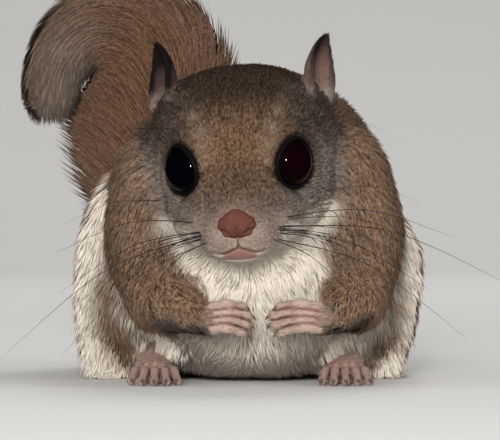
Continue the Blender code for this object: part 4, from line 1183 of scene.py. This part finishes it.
def coat_piece(name, tufts, flat, profile):
    """One piece of coat: the mesh of its tufts with masks, chance and map."""
    count, up = len(tufts["paths"]), tufts["up"]
    points, triangles, along, per = spikes(tufts["paths"], tufts["half"], flat, up, profile)
    points[:, 2] = np.maximum(points[:, 2], TUFTS_OFF_FLOOR)
    nothing = np.zeros(count)
    fields = {field: np.repeat(tufts.get(field, nothing), per) for field in MASKS + ("chance",)}
    fields["along"] = along
    across = np.tile([*np.tile((-1.0, 1.0, 0.0), (per - 1) // 3), 0.0], count)
    offset = np.stack([across, 2 * along - 1], axis=1) * PATCH_HALF
    places = np.repeat(tufts["places"], per, axis=0) + offset
    mesh = dressed(stored(name, points, triangles), places[triangles.ravel()], fields)
    own = np.empty(len(points) * 3, np.float32)
    mesh.vertices.foreach_get("normal", own)
    softer = unit(own.reshape(-1, 3) + SOFTEN * np.repeat(up, per, axis=0))
    mesh.normals_split_custom_set_from_vertices(softer)
    placed(linked(name, mesh), COAT_LOOK)


def split_pieces(stem, tufts, flat, profile, limit=TUFTS_PER_PIECE):
    """As many pieces as the limit of tufts asks for."""
    count = len(tufts["paths"])
    for i, rows in enumerate(np.array_split(np.arange(count), math.ceil(count / limit))):
        chosen = {field: values[rows] for field, values in tufts.items()}
        coat_piece(f"{stem}_{i + 1}", chosen, flat, profile)


def rooted(count, weight, *fields):
    """Roots on the skin: place, normal, lie, masks, map place and the values of the given fields."""
    pick, corner = sampled(skin_points, skin_tris, count, weight)
    rows = skin_tris[pick]

    def blend(values):
        return np.einsum("nk,nk...->n...", corner, values[rows])

    place, normal, lie = blend(skin_points), unit(blend(normals)), blend(skin_lie)
    lie = unit(lie - np.sum(lie * normal, axis=1)[:, None] * normal)
    masks = {m: blend(v) for m, v in skin_masks.items()}
    where = np.einsum("nk,nkj->nj", corner, skin_map[pick])
    return place, normal, lie, masks, where, [blend(f) for f in fields]


def grown(place, normal, lie, long, rise):
    """Paths of three points: out of the skin at an angle, then bending down to lie along it."""
    count = len(place)
    side = np.cross(normal, lie)
    turn = rng.normal(0.0, TUFT_STRAY, count)[:, None]
    lie = unit(lie + side * np.tan(turn))
    tilt = np.radians(rise * rng.uniform(0.75, 1.25, count))[:, None]
    long = (long * rng.uniform(0.75, 1.2, count))[:, None]
    path = []
    for t in (-0.06, 0.48, 1.0):
        height = np.sin(tilt) * t - TUFT_DROOP * t * abs(t)
        path.append(place + long * (np.cos(tilt) * t * lie + height * normal + 0.08 * turn * t * t * side))
    return np.stack(path, axis=1)


def clumped(paths, size):
    """Draws the tips of neighbouring tufts together, as fur gathers into small locks."""
    roots = paths[:, 0]
    cell = np.floor(roots / size + 0.35 * np.sin(roots[:, (1, 2, 0)] * 2.3)).astype(int)
    _, group = np.unique(cell, axis=0, return_inverse=True)
    group = group.ravel()
    many = np.bincount(group)
    middle = np.stack([np.bincount(group, paths[:, -1, k]) / many for k in range(3)], axis=1)[group]
    for step, share in ((-2, 0.35), (-1, 1.0)):
        paths[:, step] += LOCK_PULL * share * (middle - paths[:, -1])
    return paths


# %% [markdown]
# ## The coat of head, body and limbs
# Length, width and spacing follow the real animal: a little over two millimetres on the head, under one by
# the nose, about one on hands and feet, and four to six on the back, flanks and legs. Nothing grows on the
# eyes, the nose pad and the lips, or under the animal where it sits.

# %% Coat of the body
THIN, THIN_WIDTH = ((1.0, 1.0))
BARE_NOSE, BARE_NOSE_HALF = (0.0, -18.2, -5.3), (2.7, 2.2, 2.0)
BARE_LIP = 0.42


def growth(points, normals, shares):
    """Length, width and tufts per square millimetre over the skin."""
    h = to_head(points)
    x, y, z = np.abs(h[:, 0]), h[:, 1], h[:, 2]
    long, wide, many = shares @ LONGEST, shares @ WIDEST, shares @ SPACING
    is_head = shares[:, 0]
    face = smooth(-3.0, -16.0, y) * is_head
    long *= 1 - 0.62 * face
    wide *= 1 - 0.40 * face
    many *= 1 + 0.9 * face
    long *= 1 + 1.1 * smooth(2.8, 4.6, x) * smooth(-7.0, -9.6, z) * face
    lip = line_distance(x, z, LIP_LINE)
    nose = np.linalg.norm((h - BARE_NOSE) / BARE_NOSE_HALF, axis=1)
    bare = (nose < 1.0) | ((lip < BARE_LIP) & (y < -12.5))
    bare |= (z < lip_height(x)) & (z > -11.5) & (x < 2.3) & (y < -14.0)
    bare |= (points[:, 2] < 1.2) & (normals[:, 2] < -0.5)
    for side in SIDES:
        away, _, beyond = around_eye(h, side)
        bare |= (away < EYE_RADIUS + 1.5) & (beyond < 0.06)
        rim = smooth(3.2, 0.5, away - EYE_RADIUS)
        long *= 1 - 0.55 * rim * is_head
        wide *= 1 - 0.30 * rim * is_head
    long *= 0.30 + 0.70 * smooth(0.9, 2.0, nose)
    long *= 1 - 0.55 * smooth(1.6, 0.4, lip) * (y < -12.5)
    return long, wide, np.where(bare, 0.0, np.maximum(many, 0.0))


skin_long, skin_wide, skin_many = growth(skin_points, normals, shares)
skin_rise = shares @ RISE
tri_many = skin_many[skin_tris].mean(axis=1)
tri_many[(skin_many[skin_tris] == 0).any(axis=1)] = 0.0
tri_area = np.linalg.norm(face_crosses(skin_points, skin_tris), axis=1) / 2
tri_head = shares[skin_tris][:, :, :2].sum(axis=2).mean(axis=1) > 0.5
for stem, chosen, lock in (("coat_head", tri_head, 0.75), ("coat_body", ~tri_head, 1.5)):
    weight = tri_many * chosen
    count = int(THIN * (weight * tri_area).sum())
    place, normal, lie, masks, where, measures = rooted(count, weight, skin_long, skin_wide, skin_rise)
    long, wide, rise = measures
    paths = clumped(grown(place, normal, lie, long, rise), lock)
    half = wide * THIN_WIDTH / 2
    tufts = dict(masks, paths=paths, half=half, up=normal, chance=rng.random(count), places=where)
    split_pieces(stem, tufts, 0.7, (0.8, 1.0))
    print(stem, count, "tufts, area", round(float(tri_area[chosen].sum())), "mm2")

# %% [markdown]
# ## The tail's hair
# The hairs of the tail start on the narrow core and sweep out and on along it to both sides, so that it is
# flat and wide like a feather. Each path is read from the tail's own table at four shares of its run,
# which makes the hair follow the bend of the hook.

# %% Coat of the tail
TAIL_TUFTS = 20000
TAIL_TUFT_HALF = 0.15
TAIL_END = 1.022
TAIL_FORWARD = 10.0
FLUFF_SHARES = (0.28, 0.42, 0.58, 0.68, 0.78, 0.90, 1.00)
FLUFF_REACH = (0.0, 2.2, 3.4, 3.2, 3.0, 2.6, 1.6)


def tail_hair(count):
    """Paths, upward ways, shares, places across and which face each hair is on."""
    share = (np.arange(count) + rng.random(count)) / count * 0.97
    across_share = rng.uniform(-1, 1, count)
    front = np.where(rng.random(count) < 0.5, -1.0, 1.0)
    side, out = np.sign(across_share), np.abs(across_share)
    start = out * CORE_REACH * core_slim(share)
    finish = out**0.70 * rng.uniform(0.90, 1.03, count)
    round_end = TAIL_END - 0.055 * out**2 - rng.uniform(0.0, 0.03, count)
    forward = TAIL_FORWARD * rng.uniform(0.8, 1.2, count)
    forward = np.minimum(forward, np.maximum(round_end - share, 0.02) * TAIL_RUN)
    low = front * CORE_THICK * core_slim(share) * np.sqrt(1 - out**2)
    high = front * 0.95 * np.sqrt(np.maximum(1 - finish**2, 0.0)) * rng.uniform(0.55, 1.0, count)
    path = []
    for t in (-0.04, 0.33, 0.67, 1.0):
        spot = share + forward * t / TAIL_RUN
        centre, across, face, left, right, thick = tail_at(spot)
        reach = np.where(side > 0, left, right + np.interp(spot, FLUFF_SHARES, FLUFF_REACH))
        over = (start + (finish - start) * np.sign(t) * abs(t) ** 0.85) * reach * side
        lift = (low + (high - low) * t) * thick
        path.append(centre + across * over[:, None] + face * lift[:, None])
    up = tail_at(share)[2] * front[:, None]
    return np.stack(path, axis=1), up, share, finish, front


def tail_masks(share, out, front):
    """Brown along the middle, greyer to the edges and over the hook, with a paler underside at its end. The
    darkness and red are partly the tail's own reddish brown and partly painted warm shade.
    """
    tip = smooth(0.62, 0.80, share)
    edge = smooth(0.45, 1.0, out)
    under = tip * (front > 0)
    return {
        "pale": 0.20 * under * (1 - 0.6 * edge),
        # The darkness here and the red below are partly the tail's own reddish brown and partly painted
        # warm shade
        "dark": 0.27 - 0.04 * tip + 0.05 * edge * (1 - tip) + 0.16 * smooth(0.93, 1.0, share) * out,
        "warm": 0.60 * (1 - 0.5 * tip) * (1 - 0.4 * edge),
        "grey": 0.10 + 0.20 * edge + 0.32 * tip * (1 - edge),
        "red": 0.28 * (1 - 0.6 * tip) * (1 - 0.4 * edge),
    }


tail_count = int(TAIL_TUFTS * THIN)
paths, up, share, out, front = tail_hair(tail_count)
centres = filled_tree(skin_points[skin_tris].mean(axis=1))
rows = np.array([centres.find(p)[1] for p in paths[:, 0]])
half = np.full(tail_count, TAIL_TUFT_HALF)
tufts = dict(tail_masks(share, out, front), paths=paths, half=half, up=up)
tufts |= dict(chance=rng.random(tail_count), places=skin_map[rows].mean(axis=1))
split_pieces("coat_tail", tufts, 0.6, (0.7, 1.0, 0.75), limit=12000)
print("tail tufts:", tail_count)

# %% [markdown]
# ## Eyes
# The eyes are large and nearly black, with a wet shine. Each is a smooth ball where the solid's ball is,
# with a stronger curve in front for the cornea. A mask at its points paints a faint glow in the middle of
# the pupil, a painted reflection, dark red in the left eye and blue in the right. A thin dark rim lies
# where the lid meets the ball.

# %% Eyeballs and rims


def piece(name, points, faces, look, slot):
    """A separate piece from a form in the frame's axes, with its material and body; its slot is not used.
    """
    thing = mesh_object(name, points, faces)
    thing.data.shade_smooth()
    return placed(thing, look)


# Painted reflection: a faint dark red glow in the middle of the left pupil and a blue one in the right
EYESHINE_TINTS = {"left": (0.0042, 0.0005, 0.0013), "right": (0.0007, 0.0007, 0.0018)}
EYE_EDGE_TINT = (0.0012, 0.0010, 0.0012)
CORNEA_RADIUS, CORNEA_OUT, CORNEA_BLEND = 3.9, 1.6, 0.12
RIM_OUT, RIM_HALF_WIDE, RIM_HALF_HIGH = 0.34, 0.30, 0.20
RIM_STEPS, RIM_SIDES = 72, 12
RIM_TINTS = (0.006, 0.005, 0.005), (0.0036, 0.003, 0.003)
RIM_LOOK = new_look("lid_rim", 0.5, 0.12, noise_colour, *RIM_TINTS, 900.0)


def bulged(points, centre, axis):
    """The ball with the stronger curve of the cornea in front, blended into it."""
    way = unit(points - centre)
    along = way @ axis
    cornea = CORNEA_OUT * along + np.sqrt(CORNEA_RADIUS**2 - CORNEA_OUT**2 * (1 - along**2))
    reach = CORNEA_BLEND * np.logaddexp(EYE_RADIUS / CORNEA_BLEND, cornea / CORNEA_BLEND)
    return centre + way * reach[:, None]


def rim_form(centre, axis, side):
    """A closed ring that follows the edge of the lids."""
    level = unit(np.cross((0.0, 0.0, 1.0), axis))
    high = np.cross(axis, level)
    around = circle(RIM_SIDES)
    rings = []
    for turn in circle(RIM_STEPS):
        out = math.cos(turn) * level + math.sin(turn) * high
        edge = lid_opening(out[None], side)[0] - 0.01
        way = math.cos(edge) * axis + math.sin(edge) * out
        tangent = math.cos(edge) * out - math.sin(edge) * axis
        ring = centre + way * (EYE_RADIUS + RIM_OUT) + np.outer(RIM_HALF_WIDE * np.cos(around), tangent)
        rings.append(ring + np.outer(RIM_HALF_HIGH * np.sin(around), way))
    numbers = np.arange(RIM_STEPS * RIM_SIDES).reshape(RIM_STEPS, RIM_SIDES)
    ahead = np.roll(numbers, -1, axis=0)
    corners = (numbers, ahead, np.roll(ahead, -1, axis=1), np.roll(numbers, -1, axis=1))
    return np.vstack(rings), np.stack(corners, axis=2).reshape(-1, 4).tolist()


for side in SIDES:
    centre, axis = mirrored(EYE_CENTRE, side), eye_axis(side)
    points, faces = ball(centre, [EYE_RADIUS] * 3, columns=96, rows=64)
    points = bulged(points, centre, axis)
    look = new_look(f"eye_{side}_look", 0.03, 0.16, eyeshine_colour, EYESHINE_TINTS[side], EYE_EDGE_TINT)
    eye = piece(f"eyeball_{side}", from_head(points), faces, look, "eye_black")
    add_field(eye.data, "pupil", smooth(0.5, 1.0, unit(points - centre) @ axis))
    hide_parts(f"eye_{side}")
    points, faces = rim_form(centre, axis, side)
    piece(f"lid_rim_{side}", from_head(points), faces, RIM_LOOK, "eye_black")
print("eyes done")

# %% [markdown]
# ## Nose pad
# The pad is bare pink-brown skin with a comma-shaped nostril on each side and a fine groove down its
# middle. It is a smooth ball, like the solid's, whose points are pushed in for the nostrils and the
# groove.

# %% Nose
NOSE_CENTRE, NOSE_HALF = np.array((0.0, -18.2, -5.1)), np.array((2.75, 1.75, 2.3))
NOSE_TINTS = (0.160, 0.058, 0.041), (0.066, 0.023, 0.017)
points, faces = ball(NOSE_CENTRE, NOSE_HALF, columns=96, rows=64)
points[:, 0] *= 1 + 0.32 * (NOSE_CENTRE[2] - points[:, 2]) / NOSE_HALF[2]
points[:, 2] += 0.09 * points[:, 0] ** 2 * smooth(-5.0, -6.8, points[:, 2])
out = unit(points - NOSE_CENTRE)
x, z = np.abs(points[:, 0]), points[:, 2]
across, down = x - 1.75, z + 6.0
comma = np.hypot(across * 0.94 + down * 0.34, (down * 0.94 - across * 0.34) * 1.7) / 0.62
wing = np.hypot(x - 2.2, (z + 5.6) * 0.9)
sink = 0.95 * np.exp(-(comma**4)) - 0.22 * np.exp(-((wing - 1.0) ** 2) / 0.12)
sink += 0.30 * bump_at(x, 0.22) * smooth(-4.6, -5.6, z)
points -= out * (sink * (points[:, 1] < NOSE_CENTRE[1] + 0.6))[:, None]
NOSE_GRAIN = 2600.0
NOSE_LOOK = new_look("nose_pad", 0.6, 0.12, noise_colour, *NOSE_TINTS, NOSE_GRAIN)
add_relief(NOSE_LOOK, NOSE_GRAIN, 0.8, 0.15)
nose = piece("nose_pad", from_head(points), faces, NOSE_LOOK, "nose_skin")
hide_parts("nose")

# %% [markdown]
# ## Claws and whiskers
# Claws are small bent cones of dark horn at the tips of the digits. Whiskers are stiff black hairs, thick
# at the root and drawn out to almost nothing: five long ones on each side of the muzzle with finer ones
# between them, and one over each eye and on each cheek. They are thin closed tubes along smooth curves.

# %% Claws
CLAW_TINTS = (0.16, 0.12, 0.10), (0.096, 0.072, 0.06)
CLAW_LOOK = new_look("claw_horn", 0.35, 0.5, noise_colour, *CLAW_TINTS, 3000.0, shine=0.2)
CLAW_LENGTH, CLAW_RADII = 1.9, (0.42, 0.30, 0.06)
forms = []
for _, _, tip, way in DIGITS:
    way = unit(np.asarray(way))
    middle = tip + way * 0.55 * CLAW_LENGTH + (0, 0, 0.1)
    path = (tip - way * 0.3, middle, tip + way * CLAW_LENGTH - (0, 0, 0.45))
    forms.append(limb(path, CLAW_RADII, sides=12, rings=12, caps=3, wide_axis=DIGIT_AXIS))
points, faces = joined(forms)
points[:, 2] = np.maximum(points[:, 2], CLAWS_OFF_FLOOR)
piece("claws", points, faces, CLAW_LOOK, "nose_skin")

# %% Whiskers
WHISKER_TINTS = (0.012, 0.010, 0.010), (0.0072, 0.006, 0.006)
WHISKER_LOOK = new_look("whisker", 0.4, 0.5, noise_colour, *WHISKER_TINTS, 4000.0)
WHISKER_ROOTS = np.array(
    [(6.5, -12.8, -6.6), (5.6, -14.3, -7.4), (6.3, -12.9, -8.5), (5.4, -14.5, -9.0), (4.8, -15.7, -8.4)]
)
WHISKER_TIPS = {
    "left": ((31, 3.5, 22.6), (38.5, -0.5, 15.8), (27, 4, 14.8), (32, -2.5, 8), (16.6, -3.5, 12.6)),
    "right": ((-29, 5.5, 20.5), (-28.6, 2, 14.4), (-36.5, 1, 5.4), (-28, -2.5, 5.2), (-15.6, -3.5, 14)),
}
WHISKER_RADIUS, WHISKER_RISE = 0.085, 0.10
FINE_WHISKERS, FINE_THICKNESS, FACE_HAIR_THICKNESS = 9, 0.75, 0.7
# Root and way in the head's axes, on the left side, and length: over the eye and on the cheek
FACE_HAIRS = (
    ((9.6, -3.0, 5.6), (0.9, -0.35, 0.10), 14.0),
    ((12.6, -2.0, -6.0), (1.0, -0.25, 0.05), 15.0),
)


def whisker(start, tip, thickness=1.0):
    """A closed tapered tube that rises a little on its way out and then sinks to its tip."""
    bend = (start + tip) / 2 + (0.0, 0.0, WHISKER_RISE * np.linalg.norm(tip - start))
    radii = WHISKER_RADIUS * thickness * (1 - 0.86 * np.linspace(0.0, 1.0, 14))
    line = through([start, bend, tip], 14)
    return limb(line, radii, sides=6, rings=22, caps=1, wide_axis=(0.1, 1.0, 0.3))


forms = []
for side, sign in SIDES.items():
    roots = from_head(mirrored(WHISKER_ROOTS, side) - (0.9 * sign, -0.5, 0.0))
    tips = np.array(WHISKER_TIPS[side], float) + SHIFT
    forms += [whisker(root, tip) for root, tip in zip(roots, tips)]
    for _ in range(FINE_WHISKERS):
        share = rng.dirichlet((0.8,) * len(roots))
        root = share @ roots + rng.uniform(-0.5, 0.5, 3)
        tip = root + (share @ tips - root) * rng.uniform(0.45, 0.85) + rng.uniform(-1.5, 1.5, 3)
        forms.append(whisker(root, tip, FINE_THICKNESS))
    for root, way, long in FACE_HAIRS:
        root = from_head(mirrored(root, side))
        tip = root + HEAD_TURN @ unit(mirrored(way, side)) * long - (0.0, 0.0, 0.15 * long)
        forms.append(whisker(root, tip, FACE_HAIR_THICKNESS))
whiskers = piece("whiskers", *joined(forms), WHISKER_LOOK, "whisker_hair")
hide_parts("whiskers_left", "whiskers_right")
print("whiskers:", len(forms))

# %% [markdown]
# ## Floor, light and camera
# A plain pale floor that bends up into a plain backdrop, one large soft light behind the camera, a fill
# from each side, one light from behind and above, and a small lamp near the lens, which puts the small
# points of light in the eyes. The camera is a long lens, level with the animal.

# %% Stage
HALF_STAGE, BEND_START, BEND_RADIUS, STAGE_TOP = 2400.0, 800.0, 500.0, 2000.0
PAPER_TINTS = (0.82, 0.80, 0.775), (0.80, 0.785, 0.76)
turns = np.linspace(0.0, math.pi / 2, 25)
bend = [(BEND_START + BEND_RADIUS * math.sin(a), BEND_RADIUS * (1 - math.cos(a))) for a in turns]
bend.append((BEND_START + BEND_RADIUS, STAGE_TOP))


def sheet(name, rows):
    """A sheet as wide as the stage through rows of depth and height."""
    points = [(x, y, z) for y, z in rows for x in (-HALF_STAGE, HALF_STAGE)]
    return mesh_object(name, points, [(i, i + 1, i + 3, i + 2) for i in range(0, len(points) - 2, 2)])


floor = sheet("floor", [(-HALF_STAGE, 0.0), (BEND_START, 0.0)])
back = sheet("backdrop", bend)
back.data.shade_smooth()
STAGE_LOOK = new_look("paper", 0.9, 0.1, noise_colour, *PAPER_TINTS, 20.0)
for thing in (floor, back):
    thing.data.materials.append(STAGE_LOOK)
    thing.visible_glossy = False

AIM = np.array((SHIFT[0], SHIFT[1], 25.4))
# Name, place, diameter and power
LAMPS = (
    ("key", (-90, -1000, 210), 300, 8.3),
    ("fill_left", (-900, -260, 340), 640, 2.1),
    ("fill_right", (900, -340, 380), 640, 2.5),
    ("top_back", (130, 700, 800), 550, 3.6),
    ("lens_lamp", (SHIFT[0] - 12, -600, 150), 26, 1.0),
)
for name, place, size, watts in LAMPS:
    data = bpy.data.lights.new(name, "AREA")
    data.shape, data.size, data.energy = "DISK", size * MM, watts
    thing = linked(name, data)
    thing.location = Vector(place) * MM
    thing.rotation_euler = (Vector(AIM) - Vector(place)).to_track_quat("-Z", "Y").to_euler()
    # Only the small lamp is mirrored in the eyes
    thing.visible_glossy = name == "lens_lamp"
world = bpy.data.worlds.new("studio")
bpy.context.scene.world = world
world.use_nodes = True
feed(world.node_tree.nodes["Background"], {"Color": (0.95, 0.97, 1.0), "Strength": 0.22})
world.cycles_visibility.glossy = False
bpy.context.scene.view_settings.view_transform = "Standard"

# %% Camera
CAMERA_AWAY, CAMERA_RISE = 620.0, math.radians(0.5)
camera = linked("camera", bpy.data.cameras.new("camera"))
camera.data.lens, camera.data.sensor_width = 300.0, 36.0
camera.data.clip_start, camera.data.clip_end = 0.01, 20.0
toward = np.array((0.0, -math.cos(CAMERA_RISE), math.sin(CAMERA_RISE)))
camera.location = Vector((AIM + toward * CAMERA_AWAY) * MM)
camera.rotation_euler = Vector(-toward).to_track_quat("-Z", "Y").to_euler()
bpy.context.scene.camera = camera
